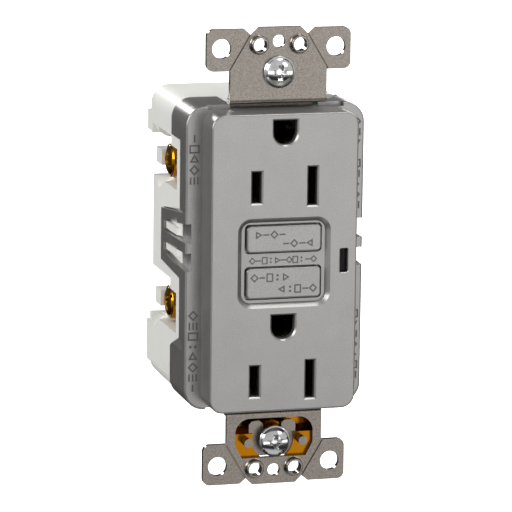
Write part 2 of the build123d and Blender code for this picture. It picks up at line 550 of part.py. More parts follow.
with BuildPart() as mounting_strap:
    for end in (1, -1):
        strap_tab(end)
        # the bend: a shelf runs back over the end of the cover, then the plate turns in
        block(-TAB_WIDTH / 2, TAB_WIDTH / 2, -STRAP_THICK, SHOULDER_Y + 1.0, end * (BEND_Z - STRAP_THICK),
              end * BEND_Z)
        block(-NECK_WIDTH / 2, NECK_WIDTH / 2, SHOULDER_Y + 0.5, STRAP_PLATE_Y + STRAP_THICK,
              end * (BEND_Z - STRAP_THICK), end * BEND_Z)
        block(-NECK_WIDTH / 2, NECK_WIDTH / 2, STRAP_PLATE_Y, STRAP_PLATE_Y + STRAP_THICK,
              end * (COVER_INNER_H / 2 - 1.5), end * (BEND_Z - 0.1))
    bends = [edge for edge in mounting_strap.edges().filter_by(Axis.X)
             if abs(abs(edge.center().Z) - BEND_Z) < 0.01 and edge.center().Y > STRAP_PLATE_Y]
    fillet(bends, STRAP_THICK - 0.1)
    fronts = [edge for edge in mounting_strap.edges().filter_by(Axis.X)
              if abs(abs(edge.center().Z) - (BEND_Z - STRAP_THICK)) < 0.01 and edge.center().Y < -STRAP_THICK + 0.01]
    fillet(fronts, STRAP_THICK - 0.1)
    block(-SPINE_WIDTH / 2, SPINE_WIDTH / 2, STRAP_PLATE_Y, STRAP_PLATE_Y + STRAP_THICK,
          -COVER_INNER_H / 2, COVER_INNER_H / 2)
    block(-SPINE_GAP[0], SPINE_GAP[0], STRAP_PLATE_Y - 1, STRAP_PLATE_Y + STRAP_THICK + 1,
          RESET_Z - SPINE_GAP[1], RESET_Z + SPINE_GAP[1] + 6.0, mode=Mode.SUBTRACT)
    tab_holes(1, screw_hole=True)
    tab_holes(-1, screw_hole=False)
    # window for the self-grounding clip
    with BuildSketch(at_y(1)) as window:
        with BuildLine():
            Polyline((-WINDOW_HALF, -WINDOW_TOP), (WINDOW_HALF, -WINDOW_TOP), (WINDOW_HALF, -WINDOW_CORNER_Z),
                     (WINDOW_LOW_HALF, -WINDOW_LOW), (-WINDOW_LOW_HALF, -WINDOW_LOW),
                     (-WINDOW_HALF, -WINDOW_CORNER_Z), close=True)
        make_face()
        fillet(window.vertices().group_by(Axis.Y)[-1], 3.4)
    extrude(window.sketch, amount=STRAP_THICK + 2, mode=Mode.SUBTRACT)
    # ground pins of the plug pass through the spine
    for slot_z in SLOT_ZS.values():
        rod_y(0, slot_z + GROUND_RISE, 2.7, STRAP_PLATE_Y - 1, STRAP_PLATE_Y + STRAP_THICK + 1,
              mode=Mode.SUBTRACT)
    # lug for the ground screw
    block(0, LUG_X, STRAP_PLATE_Y, STRAP_PLATE_Y + STRAP_THICK, GROUND_SCREW_Z - 3.2, COVER_INNER_H / 2 - 0.4)
    block(LUG_X, LUG_X + STRAP_THICK, STRAP_PLATE_Y, LUG_Y - 0.2, GROUND_SCREW_Z - 3.2,
          COVER_INNER_H / 2 - 0.4)
    rod_y(0, SLOT_ZS["upper"] + GROUND_RISE, 2.7, STRAP_PLATE_Y - 1, STRAP_PLATE_Y + STRAP_THICK + 1,
          mode=Mode.SUBTRACT)
    rod_x(GROUND_SCREW_Y, GROUND_SCREW_Z, TERMINAL_THREAD_D / 2 + THREAD_FIT, LUG_X - 1,
          LUG_X + STRAP_THICK + 1,
          mode=Mode.SUBTRACT)
finish(mounting_strap, "mounting_strap")


# ---------------------------------------------------------------- self-grounding clip
CLIP_THICK = 0.4
CLIP_LOW = 46.0
CLIP_HALF = 9.6
CLIP_STEP_Z = 40.2
CLIP_BACK_Y = 5.2
RETAINER_THICK = 0.9
PIN_X = 6.3
PIN_D = 2.0
PIN_TIP_Y = -2.9
SCREW_CUT_D = 9.6
LOBE_HALF = 5.4                      # half width of the retainer's two upper lobes
LOBE_TOP = 37.4
LOBE_RADIUS = 1.3
RETAINER_SLOT = 2.1
LOWER_SCREW_Z = -BOX_SCREW_SPACING / 2
PAN_TOP = BEND_Z + 0.15
PAN_RADIUS = 3.4
PAN_TAPER = 8
RING_R = 3.9
RING_FRONT_Y = FIT + CLIP_THICK + RETAINER_THICK + 0.2

with BuildPart() as grounding_clip:
    # flat foot behind the strap
    block(-CLIP_HALF, CLIP_HALF, FIT, FIT + CLIP_THICK, -CLIP_LOW, -CLIP_STEP_Z)
    # drawn pan behind the upper half of the window, open to the front
    for grow, back_y, mode in ((0, CLIP_BACK_Y, Mode.ADD),
                               (CLIP_THICK, CLIP_BACK_Y - CLIP_THICK, Mode.SUBTRACT)):
        with BuildSketch(at_y(FIT)) as pan:
            with BuildLine():
                Polyline((-CLIP_HALF + grow, -CLIP_STEP_Z - CLIP_THICK + grow),
                         (-CLIP_HALF + grow, -PAN_TOP - grow),
                         (CLIP_HALF - grow, -PAN_TOP - grow),
                         (CLIP_HALF - grow, -CLIP_STEP_Z - CLIP_THICK + grow),
                         close=True)
            make_face()
            fillet(pan.vertices().group_by(Axis.Y)[-1], PAN_RADIUS - grow)
        extrude(pan.sketch, amount=-(back_y - FIT), taper=PAN_TAPER, mode=mode)
    rod_y(0, LOWER_SCREW_Z, SCREW_CUT_D / 2, -1, 1, mode=Mode.SUBTRACT)
    block(-LOBE_HALF - 0.1, LOBE_HALF + 0.1, FIT + CLIP_THICK + 0.01, FIT + CLIP_THICK + RETAINER_THICK + 0.1,
          -CLIP_STEP_Z - 1, -CLIP_STEP_Z + 0.2, mode=Mode.SUBTRACT)
    # two rolled rings that press on the screw
    for ring_r, front in ((RING_R, RING_FRONT_Y), (RING_R - 0.6, RING_FRONT_Y + 1.1)):
        rod_y(0, LOWER_SCREW_Z, ring_r, front, front + 0.6)
    rod_y(0, LOWER_SCREW_Z, RING_R - 1.0, RING_FRONT_Y, RING_FRONT_Y + 1.7)
    rod_y(0, LOWER_SCREW_Z, RETAINER_SLOT + 0.1, -1, CLIP_BACK_Y + 1, mode=Mode.SUBTRACT)
    for x in (-PIN_X, PIN_X):
        rod_y(x, LOWER_SCREW_Z, PIN_D / 2 + FIT, -1, 1, mode=Mode.SUBTRACT)
finish(grounding_clip, "grounding_clip")

with BuildPart() as screw_retainer:
    # steel plate behind the clip with a U slot that is open upwards, and the two pins struck out of it
    back = FIT + CLIP_THICK
    with BuildSketch(at_y(back + RETAINER_THICK)) as plate:
        with BuildLine():
            Polyline((-8.6, -CLIP_LOW + 0.6), (8.6, -CLIP_LOW + 0.6), (8.6, -CLIP_STEP_Z - 0.6),
                     (LOBE_HALF, -CLIP_STEP_Z - 0.6), (LOBE_HALF, -LOBE_TOP), (RETAINER_SLOT, -LOBE_TOP),
                     (RETAINER_SLOT, LOWER_SCREW_Z), (-RETAINER_SLOT, LOWER_SCREW_Z),
                     (-RETAINER_SLOT, -LOBE_TOP),
                     (-LOBE_HALF, -LOBE_TOP), (-LOBE_HALF, -CLIP_STEP_Z - 0.6), (-8.6, -CLIP_STEP_Z - 0.6),
                     close=True)
        make_face()
        lobe_corners = [v for v in plate.vertices() if abs(abs(v.Y) - LOBE_TOP) < 0.01]
        fillet(lobe_corners, LOBE_RADIUS)
        with Locations((0, LOWER_SCREW_Z)):
            Circle(RETAINER_SLOT, mode=Mode.SUBTRACT)
    extrude(plate.sketch, amount=RETAINER_THICK)
    for x in (-PIN_X, PIN_X):
        rod_y(x, LOWER_SCREW_Z, PIN_D / 2, PIN_TIP_Y, back + 0.1)
finish(screw_retainer, "screw_retainer")


# ---------------------------------------------------------------- inner frame and receptacle contacts
FLOOR_Y = 12.1                       # front of the inner frame's floor
FLOOR_THICK = 1.6
FRAME_HALF_W = 11.7
FRAME_HALF_H = 31.4
RAIL_X = (9.9, 11.3)
RAIL_TOP_Z = 25.2
RAIL_FRONT_Y = -4.7
PIN_HOLE_D = 3.0
BLADE_PIVOT_Z = 12.5
BLADE_Y = 9.0
BLADE_THICK = 0.3
TEST_CONTACT_Z = 3.2
CONTACT_GAP = 1.7
LEAF_THICK = 0.5
CONTACT_BASE = 0.8
CONTACT_FRONT_Y = -3.5

with BuildPart() as inner_frame:
    block(-FRAME_HALF_W, FRAME_HALF_W, FLOOR_Y, FLOOR_Y + FLOOR_THICK, -FRAME_HALF_H, FRAME_HALF_H)
    for side in SIDES.values():
        side_block(side, *RAIL_X, RAIL_FRONT_Y, FLOOR_Y + 0.5, -FRAME_HALF_H, RAIL_TOP_Z)
    for low, high in ((-FRAME_HALF_H, -FRAME_HALF_H + 1.0), (RAIL_TOP_Z - 1.2, RAIL_TOP_Z)):
        block(-RAIL_X[1], RAIL_X[1], STRAP_PLATE_Y + STRAP_THICK + 0.3, FLOOR_Y + 0.5, low, high)
    # post that holds the test blade
    block(-2.0, 2.0, BLADE_Y, FLOOR_Y + 0.5, BLADE_PIVOT_Z + 0.2, BLADE_PIVOT_Z + 2.4)
    # corner cut away round the lug of the ground screw
    block(LUG_X - 1.6, FRAME_HALF_W + 1, FLOOR_Y - 1, FLOOR_Y + FLOOR_THICK + 1, GROUND_SCREW_Z - 3.6,
          FRAME_HALF_H + 1, mode=Mode.SUBTRACT)
    rod_y(0, RESET_Z, PIN_HOLE_D / 2, FLOOR_Y - 1, FLOOR_Y + FLOOR_THICK + 1, mode=Mode.SUBTRACT)
    rod_y(0, TEST_CONTACT_Z, 1.0, FLOOR_Y - 1, FLOOR_Y + FLOOR_THICK + 1, mode=Mode.SUBTRACT)
finish(inner_frame, "inner_frame")


def blade_contact(side, half_height):
    """One strip along the outlet with a pair of spring leaves behind each blade slot."""
    x = side * SLOT_X
    inner = CONTACT_GAP / 2
    base_front = FLOOR_Y - CONTACT_BASE
    block(x - inner - LEAF_THICK, x + inner + LEAF_THICK, base_front, FLOOR_Y,
          LOWER_SLOT_Z - half_height, UPPER_SLOT_Z + half_height)
    for slot_z in SLOT_ZS.values():
        for leaf in (-1, 1):
            block(x + leaf * inner, x + leaf * (inner + LEAF_THICK), CONTACT_FRONT_Y, base_front + 0.1,
                  slot_z - half_height, slot_z + half_height)


with BuildPart() as hot_contact:
    blade_contact(SIDES["hot"], 3.1)
finish(hot_contact, "hot_contact")

with BuildPart() as neutral_contact:
    blade_contact(SIDES["neutral"], 3.8)
finish(neutral_contact, "neutral_contact")

for name, slot_z in SLOT_ZS.items():
    ground_z = slot_z + GROUND_RISE
    with BuildPart() as ground_contact:
        rod_y(0, ground_z, GROUND_CONTACT_R, -2.8, STRAP_PLATE_Y)
        rod_y(0, ground_z, 2.45, -3.0, STRAP_PLATE_Y + 1, mode=Mode.SUBTRACT)
        block(-4, 4, -4, STRAP_PLATE_Y - 2.0, ground_z - 0.5, ground_z + 0.5, mode=Mode.SUBTRACT)
    finish(ground_contact, f"{name}_ground_contact")


# ---------------------------------------------------------------- buttons, pin, springs and lamp
BUTTON_FRONT_Y = FACE_Y + 0.15
BUTTON_FLANGE = 0.7
FLANGE_THICK = 1.0
FLANGE_FRONT_Y = RECESS_BACK_Y + 0.1
FLANGE_BACK_Y = FLANGE_FRONT_Y + FLANGE_THICK
RESET_PIN_D = 2.0
RESET_BOSS_D = 4.2
RESET_PIN_END_Y = 25.4
SPRING_WIRE = 0.45


def button_body(z, height):
    plate_y(BUTTON_WIDTH, height, 0.9, BUTTON_FRONT_Y, FLANGE_BACK_Y, z=z)


with BuildPart() as test_button:
    button_body(TEST_Z, TEST_HEIGHT)
    fillet(test_button.faces().sort_by(Axis.Y)[0].edges(), 0.35)
    block(-BUTTON_WIDTH / 2 - BUTTON_FLANGE, BUTTON_WIDTH / 2 + BUTTON_FLANGE, FLANGE_FRONT_Y, FLANGE_BACK_Y,
          TEST_Z - TEST_HEIGHT / 2 - BUTTON_FLANGE, TEST_Z + TEST_HEIGHT / 2 + BUTTON_FLANGE)
    block(-1.2, 1.2, FLANGE_BACK_Y - 0.1, BLADE_Y - 0.6, TEST_Z - 1.2, TEST_Z + 1.2)
    rod_x(BLADE_Y - 0.6, TEST_Z, 0.5, -1.2, 1.2)
finish(test_button, "test_button")

with BuildPart() as reset_button:
    button_body(RESET_Z, RESET_HEIGHT)
    fillet(reset_button.faces().sort_by(Axis.Y)[0].edges(), 0.35)
    block(-BUTTON_WIDTH / 2 - BUTTON_FLANGE, BUTTON_WIDTH / 2 + BUTTON_FLANGE, FLANGE_FRONT_Y, FLANGE_BACK_Y,
          RESET_Z - RESET_HEIGHT / 2 - BUTTON_FLANGE, RESET_Z + RESET_HEIGHT / 2 + BUTTON_FLANGE)
    rod_y(0, RESET_Z, RESET_BOSS_D / 2, FLANGE_BACK_Y - 0.1, FLANGE_BACK_Y + 3.0)
    rod_y(0, RESET_Z, RESET_PIN_D / 2, FLANGE_FRONT_Y, FLANGE_BACK_Y + 4.0, mode=Mode.SUBTRACT)
finish(reset_button, "reset_button")

with BuildPart() as reset_pin:
    rod_y(0, RESET_Z, RESET_PIN_D / 2, FLANGE_FRONT_Y, RESET_PIN_END_Y)
    fillet(reset_pin.faces().sort_by(Axis.Y)[-1].edges(), 0.5)
finish(reset_pin, "reset_pin")


def coil_spring(start, direction, length, mean_radius, turns, wire):
    """A helical spring: the wire swept along a helix that starts at a point."""
    axis = Plane(origin=start, z_dir=direction)
    helix = Helix(pitch=length / turns, height=length, radius=mean_radius, mode=Mode.PRIVATE)
    path = axis.location * helix
    with BuildSketch(Plane(origin=path @ 0, z_dir=path % 0)) as section:
        Circle(wire / 2)
    sweep(section.sketch, path=path, is_frenet=True)


with BuildPart() as reset_spring:
    spring_start = FLANGE_BACK_Y + SPRING_WIRE
    coil_spring((0, spring_start, RESET_Z), (0, 1, 0),
                FLOOR_Y - RESET_TRAVEL - 2 * SPRING_WIRE - spring_start,
                RESET_BOSS_D / 2 + SPRING_WIRE, 8, SPRING_WIRE)
finish(reset_spring, "reset_spring")

with BuildPart() as test_blade:
    block(-1.5, 1.5, BLADE_Y, BLADE_Y + BLADE_THICK, 2.4, BLADE_PIVOT_Z)
finish(test_blade, "test_blade")

with BuildPart() as test_contact:
    rod_y(0, TEST_CONTACT_Z, 0.6, BLADE_Y + BLADE_THICK + 1.9, BOARD_Y)
finish(test_contact, "test_contact")

LAMP_CLEAR = 0.1
with BuildPart() as light_pipe:
    with BuildSketch(at_y(BOARD_Y - 1.8)) as pipe:
        with Locations((LAMP_X, LAMP_Z)):
            RectangleRounded(LAMP_SLOT[0] - 2 * LAMP_CLEAR, LAMP_SLOT[1] - 2 * LAMP_CLEAR,
                             LAMP_RADIUS - LAMP_CLEAR)
    extrude(pipe.sketch, amount=BOARD_Y - 1.8 - FACE_Y - LAMP_SINK)
finish(light_pipe, "light_pipe")

with BuildPart() as indicator_led:
    block(LAMP_X - 0.8, LAMP_X + 0.8, BOARD_Y - 1.0, BOARD_Y, LAMP_Z - 1.5, LAMP_Z + 1.5)
finish(indicator_led, "indicator_led")


# ---------------------------------------------------------------- trip mechanism
ARM_X = (7.2, 9.8)
ARM_Y = 19.0
ARM_SHEET = 0.4
ARM_PIVOT_Z = 6.0
ARM_TIP_Z = -9.2
SILVER_Z = -7.6
SILVER_D = 2.4
SILVER_THICK = 0.5
LIFTER_HALF_W = 10.0
LIFTER_Y = 19.6
LIFTER_BACK_Y = 25.0
LIFTER_Z = (-7.9, -0.9)
HUB_HALF = 4.0
LATCH_Y = 22.0
LATCH_THICK = 0.8
LATCH_HALF = 3.0
LATCH_LOW_Z = -12.0
SOLENOID_Y = LATCH_Y + LATCH_THICK / 2
PLUNGER_TIP_Z = -12.2
PLUNGER_SHOULDER_Z = -17.0
PLUNGER_LOW_Z = -28.5
PLUNGER_D = 4.0
PLUNGER_TIP_D = 2.2
COIL_TOP_Z = -14.6
COIL_LOW_Z = -28.7
BOBBIN_FLANGE = 0.8
BOBBIN_D = 5.4
COIL_D = 10.8
YOKE_THICK = 0.8

with BuildPart() as circuit_board:
    block(-FRAME_HALF_W, FRAME_HALF_W, BOARD_Y, BOARD_BACK_Y, -FRAME_HALF_H, FRAME_HALF_H)
    wing_low = LOWER_TERMINAL_Z + BAY_HALF + BAY_WALL + 0.3
    wing_high = UPPER_TERMINAL_Z - BAY_HALF - BAY_WALL - 0.3
    block(-HOUSING_HALF_W + HOUSING_WALL + 0.4, HOUSING_HALF_W - HOUSING_WALL - 0.4, BOARD_Y, BOARD_BACK_Y,
          wing_low, wing_high)
    rod_y(0, RESET_Z, PIN_HOLE_D / 2, BOARD_Y - 1, BOARD_BACK_Y + 1, mode=Mode.SUBTRACT)
finish(circuit_board, "circuit_board")

for name, side in SIDES.items():
    with BuildPart() as contact_arm:
        side_block(side, *ARM_X, ARM_Y, ARM_Y + ARM_SHEET, ARM_TIP_Z, ARM_PIVOT_Z)
        rod_y(side * sum(ARM_X) / 2, SILVER_Z, SILVER_D / 2, ARM_Y - SILVER_THICK, ARM_Y + 0.1)
    finish(contact_arm, f"{name}_contact_arm")
    with BuildPart() as arm_post:
        side_block(side, *ARM_X, BOARD_BACK_Y, ARM_Y + ARM_SHEET, ARM_PIVOT_Z + 0.25, ARM_PIVOT_Z + 2.0)
    finish(arm_post, f"{name}_arm_post")
    with BuildPart() as fixed_contact:
        side_block(side, *ARM_X, BOARD_BACK_Y, ARM_Y - 2 * SILVER_THICK - 0.1, ARM_TIP_Z, SILVER_Z + 1.6)
        rod_y(side * sum(ARM_X) / 2, SILVER_Z, SILVER_D / 2, ARM_Y - 2 * SILVER_THICK - 0.2,
              ARM_Y - SILVER_THICK - 0.05)
    finish(fixed_contact, f"{name}_fixed_contact")

with BuildPart() as lifter:
    block(-LIFTER_HALF_W, LIFTER_HALF_W, LIFTER_Y, LIFTER_Y + 1.6, *LIFTER_Z)
    block(-HUB_HALF, HUB_HALF, LIFTER_Y, LIFTER_BACK_Y, *LIFTER_Z)
    rod_y(0, RESET_Z, RESET_PIN_D / 2 + RUN, LIFTER_Y - 1, LIFTER_BACK_Y + 1, mode=Mode.SUBTRACT)
    block(-LATCH_HALF - RUN, LATCH_HALF + RUN, LATCH_Y - RUN, LATCH_Y + LATCH_THICK + RUN, LIFTER_Z[0] - 1,
          LIFTER_Z[1] + 1, mode=Mode.SUBTRACT)
finish(lifter, "lifter")

with BuildPart() as latch_plate:
    block(-LATCH_HALF, LATCH_HALF, LATCH_Y, LATCH_Y + LATCH_THICK, LATCH_LOW_Z, LIFTER_Z[1] - 0.3)
    with BuildSketch(at_y(LATCH_Y + 2)) as keyhole:
        with Locations((0, RESET_Z - PLUNGER_TRAVEL / 2)):
            SlotCenterToCenter(PLUNGER_TRAVEL + 0.4, RESET_PIN_D + 2 * RUN, rotation=90)
    extrude(keyhole.sketch, amount=4, mode=Mode.SUBTRACT)
finish(latch_plate, "latch_plate")

with BuildPart() as solenoid_bobbin:
    rod_z(0, SOLENOID_Y, BOBBIN_D / 2, COIL_LOW_Z - BOBBIN_FLANGE, COIL_TOP_Z + BOBBIN_FLANGE)
    rod_z(0, SOLENOID_Y, COIL_D / 2 + 0.2, COIL_LOW_Z - BOBBIN_FLANGE, COIL_LOW_Z)
    rod_z(0, SOLENOID_Y, COIL_D / 2 + 0.2, COIL_TOP_Z, COIL_TOP_Z + BOBBIN_FLANGE)
    rod_z(0, SOLENOID_Y, PLUNGER_D / 2 + RUN, COIL_LOW_Z - 2, COIL_TOP_Z + 2, mode=Mode.SUBTRACT)
finish(solenoid_bobbin, "solenoid_bobbin")

with BuildPart() as solenoid_coil:
    rod_z(0, SOLENOID_Y, COIL_D / 2, COIL_LOW_Z, COIL_TOP_Z)
    rod_z(0, SOLENOID_Y, BOBBIN_D / 2, COIL_LOW_Z - 1, COIL_TOP_Z + 1, mode=Mode.SUBTRACT)
finish(solenoid_coil, "solenoid_coil")

YOKE_TOP_Z = COIL_TOP_Z + BOBBIN_FLANGE
YOKE_LOW_Z = COIL_LOW_Z - BOBBIN_FLANGE
YOKE_BACK_Y = SOLENOID_Y + COIL_D / 2 + 0.3
with BuildPart() as solenoid_yoke:
    block(-5.0, 5.0, SOLENOID_Y - 4.5, YOKE_BACK_Y + YOKE_THICK, YOKE_TOP_Z, YOKE_TOP_Z + YOKE_THICK)
    block(-5.0, 5.0, SOLENOID_Y - 4.5, YOKE_BACK_Y + YOKE_THICK, YOKE_LOW_Z - YOKE_THICK, YOKE_LOW_Z)
    block(-5.0, 5.0, YOKE_BACK_Y, YOKE_BACK_Y + YOKE_THICK, YOKE_LOW_Z - YOKE_THICK, YOKE_TOP_Z + YOKE_THICK)
    rod_z(0, SOLENOID_Y, PLUNGER_TIP_D / 2 + RUN, YOKE_TOP_Z - 1, YOKE_TOP_Z + 2, mode=Mode.SUBTRACT)
finish(solenoid_yoke, "solenoid_yoke")

with BuildPart() as solenoid_plunger:
    rod_z(0, SOLENOID_Y, PLUNGER_D / 2, PLUNGER_LOW_Z, PLUNGER_SHOULDER_Z)
    rod_z(0, SOLENOID_Y, PLUNGER_TIP_D / 2, PLUNGER_SHOULDER_Z - 0.1, PLUNGER_TIP_Z)
finish(solenoid_plunger, "solenoid_plunger")

with BuildPart() as plunger_spring:
    plunger_wire = 0.35
    spring_low = PLUNGER_SHOULDER_Z + plunger_wire / 2 + 0.02
    coil_spring((0, SOLENOID_Y, spring_low), (0, 0, 1), YOKE_TOP_Z - plunger_wire / 2 - 0.02 - spring_low,
                PLUNGER_TIP_D / 2 + 0.4, 4, plunger_wire)
finish(plunger_spring, "plunger_spring")


# ---------------------------------------------------------------- current sensing and electronics
TOROID_Z = 17.5
TOROID_HUB = (2.6, 3.3)
CORE_RADII = (3.45, 8.0)
CORE_HEIGHT = 3.8
CARRIER_FLANGE = 9.2
SENSE_Y = BOARD_BACK_Y + 1.0
SPACER = 0.8
GROUND_CORE_Y = SENSE_Y + CORE_HEIGHT + SPACER

with BuildPart() as toroid_carrier:
    rod_y(0, TOROID_Z, TOROID_HUB[1], BOARD_BACK_Y, GROUND_CORE_Y + CORE_HEIGHT + 1.0)
    rod_y(0, TOROID_Z, CARRIER_FLANGE, BOARD_BACK_Y, SENSE_Y)
    rod_y(0, TOROID_Z, CARRIER_FLANGE - 0.6, SENSE_Y + CORE_HEIGHT, GROUND_CORE_Y)
    rod_y(0, TOROID_Z, TOROID_HUB[0], BOARD_BACK_Y - 1, GROUND_CORE_Y + CORE_HEIGHT + 2, mode=Mode.SUBTRACT)
finish(toroid_carrier, "toroid_carrier")

for name, core_y in (("sense_toroid", SENSE_Y), ("neutral_toroid", GROUND_CORE_Y)):
    with BuildPart() as toroid:
        rod_y(0, TOROID_Z, CORE_RADII[1], core_y + FIT, core_y + CORE_HEIGHT - FIT)
        rod_y(0, TOROID_Z, CORE_RADII[0], core_y - 1, core_y + CORE_HEIGHT + 1, mode=Mode.SUBTRACT)
        fillet(toroid.edges().filter_by(GeomType.CIRCLE), 0.5)
    finish(toroid, name)

with BuildPart() as line_leads:
    for x in (-1.25, 1.25):
        rod_y(x, TOROID_Z, 0.8, BOARD_BACK_Y, GROUND_CORE_Y + CORE_HEIGHT + 2.0)
finish(line_leads, "line_leads")

with BuildPart() as varistor:
    rod_z(-6.0, 24.0, 4.5, 28.2, 31.4)
    fillet(varistor.edges().filter_by(GeomType.CIRCLE), 1.0)
    for x in (-8.5, -3.5):
        rod_y(x, 29.8, 0.4, BOARD_BACK_Y, 22.0)
finish(varistor, "varistor")

with BuildPart() as capacitor:
    block(2.0, 10.0, BOARD_BACK_Y + 0.4, 25.0, 28.2, 31.6)
    fillet(capacitor.edges(), 0.5)
    for x in (3.6, 8.4):
        rod_y(x, 29.9, 0.4, BOARD_BACK_Y, 18.0)
finish(capacitor, "capacitor")

with BuildPart() as control_chip:
    block(-2.0, 2.0, BOARD_BACK_Y + 0.3, BOARD_BACK_Y + 1.9, 1.2, 6.2)
    for pin in range(4):
        for x in (-1, 1):
            block(x * 1.9, x * 3.0, BOARD_BACK_Y, BOARD_BACK_Y + 0.9, 1.6 + pin * 1.27, 2.0 + pin * 1.27)
finish(control_chip, "control_chip")

with BuildPart() as trip_thyristor:
    rod_y(5.0, 3.4, 1.7, BOARD_BACK_Y + 0.6, BOARD_BACK_Y + 4.6)
    block(3.0, 7.0, BOARD_BACK_Y, BOARD_BACK_Y + 5, 4.4, 6.0, mode=Mode.SUBTRACT)
    for step in (-1.0, 0.0, 1.0):
        rod_y(5.0 + step, 3.4, 0.25, BOARD_BACK_Y, BOARD_BACK_Y + 0.8)
finish(trip_thyristor, "trip_thyristor")

SMALL_PART_X = 14.0
for name, side, body_r, body_half in (("resistors", 1, 0.9, 1.7), ("diodes", -1, 0.7, 1.3)):
    with BuildPart() as small_parts:
        for row in range(4):
            z = wing_low + 2.6 + row * 4.6
            body_y = BOARD_BACK_Y + body_r + 0.1
            rod_x(body_y, z, body_r, side * (SMALL_PART_X - body_half), side * (SMALL_PART_X + body_half))
            for end in (-1, 1):
                lead_x = SMALL_PART_X + end * body_half
                side_block(side, lead_x - end * 0.2, lead_x + end * 0.8, body_y - 0.25, body_y + 0.25,
                           z - 0.25, z + 0.25)
                side_block(side, lead_x + end * 0.3, lead_x + end * 0.8, BOARD_BACK_Y, body_y, z - 0.25,
                           z + 0.25)
    finish(small_parts, name)


# ---------------------------------------------------------------- terminals
PLATE_Y = (TERMINAL_Y - 6.9, DIVIDER[0] - 0.1)
CLAMP_HALF_Y = 3.9
CLAMP_HALF_Z = 4.2
LEG_END_X = 10.2
HEAD_UNDER_X = HEAD_FACE_X - TERMINAL_HEAD_THICK
SHANK_END_X = BAY_INNER_X + 0.2
THREAD_R = TERMINAL_THREAD_D / 2


def terminal_screw(builder, side, y, z, under, face, end, head_d):
    """A screw along X: domed head, crossed and slotted, and a plain shank."""
    rod_x(y, z, head_d / 2, side * under, side * face)
    outer = builder.faces().sort_by(Axis.X)[-1 if side > 0 else 0]
    fillet(outer.edges(), 0.8)
    rod_x(y, z, THREAD_R, side * end, side * (under + 0.1))
    depth = 0.9
    side_block(side, face - depth, face + 1, y - head_d / 2 - 1, y + head_d / 2 + 1, z - 0.5, z + 0.5,
               mode=Mode.SUBTRACT)
    side_block(side, face - depth - 0.4, face + 1, y - 0.55, y + 0.55, z - 1.9, z + 1.9, mode=Mode.SUBTRACT)


for row, terminal_z in TERMINAL_ZS.items():
    for name, side in SIDES.items():
        with BuildPart() as terminal:
            side_block(side, BAY_FLOOR_X - TERMINAL_PLATE, BAY_FLOOR_X, *PLATE_Y, terminal_z - BAY_HALF + 0.2,
                       terminal_z + BAY_HALF - 0.2)
            side_block(side, LEG_END_X, BAY_FLOOR_X, *LEG_Y, terminal_z - LEG_HALF, terminal_z + LEG_HALF)
            rod_x(TERMINAL_Y, terminal_z, THREAD_R + THREAD_FIT, side * (LEG_END_X - 1), side * COVER_HALF_W,
                  mode=Mode.SUBTRACT)
        finish(terminal, f"{row}_{name}_terminal")
        with BuildPart() as clamp:
            side_block(side, HEAD_UNDER_X - CLAMP_PLATE, HEAD_UNDER_X, TERMINAL_Y - CLAMP_HALF_Y,
                       TERMINAL_Y + CLAMP_HALF_Y - 0.1, terminal_z - CLAMP_HALF_Z, terminal_z + CLAMP_HALF_Z)
            fillet(clamp.edges().filter_by(Axis.X), 0.8)
            rod_x(TERMINAL_Y, terminal_z, THREAD_R + RUN, side * 10, side * COVER_HALF_W, mode=Mode.SUBTRACT)
        finish(clamp, f"{row}_{name}_clamp")
        with BuildPart() as screw:
            terminal_screw(screw, side, TERMINAL_Y, terminal_z, HEAD_UNDER_X, HEAD_FACE_X, SHANK_END_X,
                           TERMINAL_HEAD_D)
        finish(screw, f"{row}_{name}_screw")

with BuildPart() as ground_screw:
    ground_under = LUG_X + STRAP_THICK + GROUND_WASHER_GAP
    terminal_screw(ground_screw, 1, GROUND_SCREW_Y, GROUND_SCREW_Z, ground_under, ground_under + 2.1,
                   LUG_X - 1.2, GROUND_HEAD_D)
finish(ground_screw, "ground_screw")


# ---------------------------------------------------------------- box screws
BOX_HEAD_D = 7.1
BOX_HEAD_THICK = 2.1
BOX_THREAD_D = 3.5
BOX_NECK_D = 2.9                     # plain neck that the captive washer grips
BOX_NECK_END_Y = 7.2
BOX_SCREW_END_Y = 22.0

for name, end in (("upper", 1), ("lower", -1)):
    screw_z = end * BOX_SCREW_SPACING / 2
    with BuildPart() as box_screw:
        rod_y(0, screw_z, BOX_HEAD_D / 2, -STRAP_THICK - BOX_HEAD_THICK, -STRAP_THICK - 0.02)
        fillet(box_screw.faces().sort_by(Axis.Y)[0].edges(), 1.2)
        rod_y(0, screw_z, BOX_NECK_D / 2, -STRAP_THICK - 0.1, BOX_NECK_END_Y + 0.1)
        rod_y(0, screw_z, BOX_THREAD_D / 2, BOX_NECK_END_Y, BOX_SCREW_END_Y)
        fillet(box_screw.faces().sort_by(Axis.Y)[-1].edges(), 0.4)
        front = -STRAP_THICK - BOX_HEAD_THICK
        block(-BOX_HEAD_D, BOX_HEAD_D, front - 1, front + 0.8, screw_z - 0.45, screw_z + 0.45,
              mode=Mode.SUBTRACT)
        block(-0.5, 0.5, front - 1, front + 1.1, screw_z - 1.7, screw_z + 1.7, mode=Mode.SUBTRACT)
    finish(box_screw, f"{name}_box_screw")

with BuildPart() as retaining_washer:
    rod_y(0, BOX_SCREW_SPACING / 2, 3.9, 0, 0.7)
    rod_y(0, BOX_SCREW_SPACING / 2, BOX_NECK_D / 2 + FIT, -1, 2, mode=Mode.SUBTRACT)
finish(retaining_washer, "retaining_washer")
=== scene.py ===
import math

import bmesh
import bpy
from mathutils import Matrix, Vector


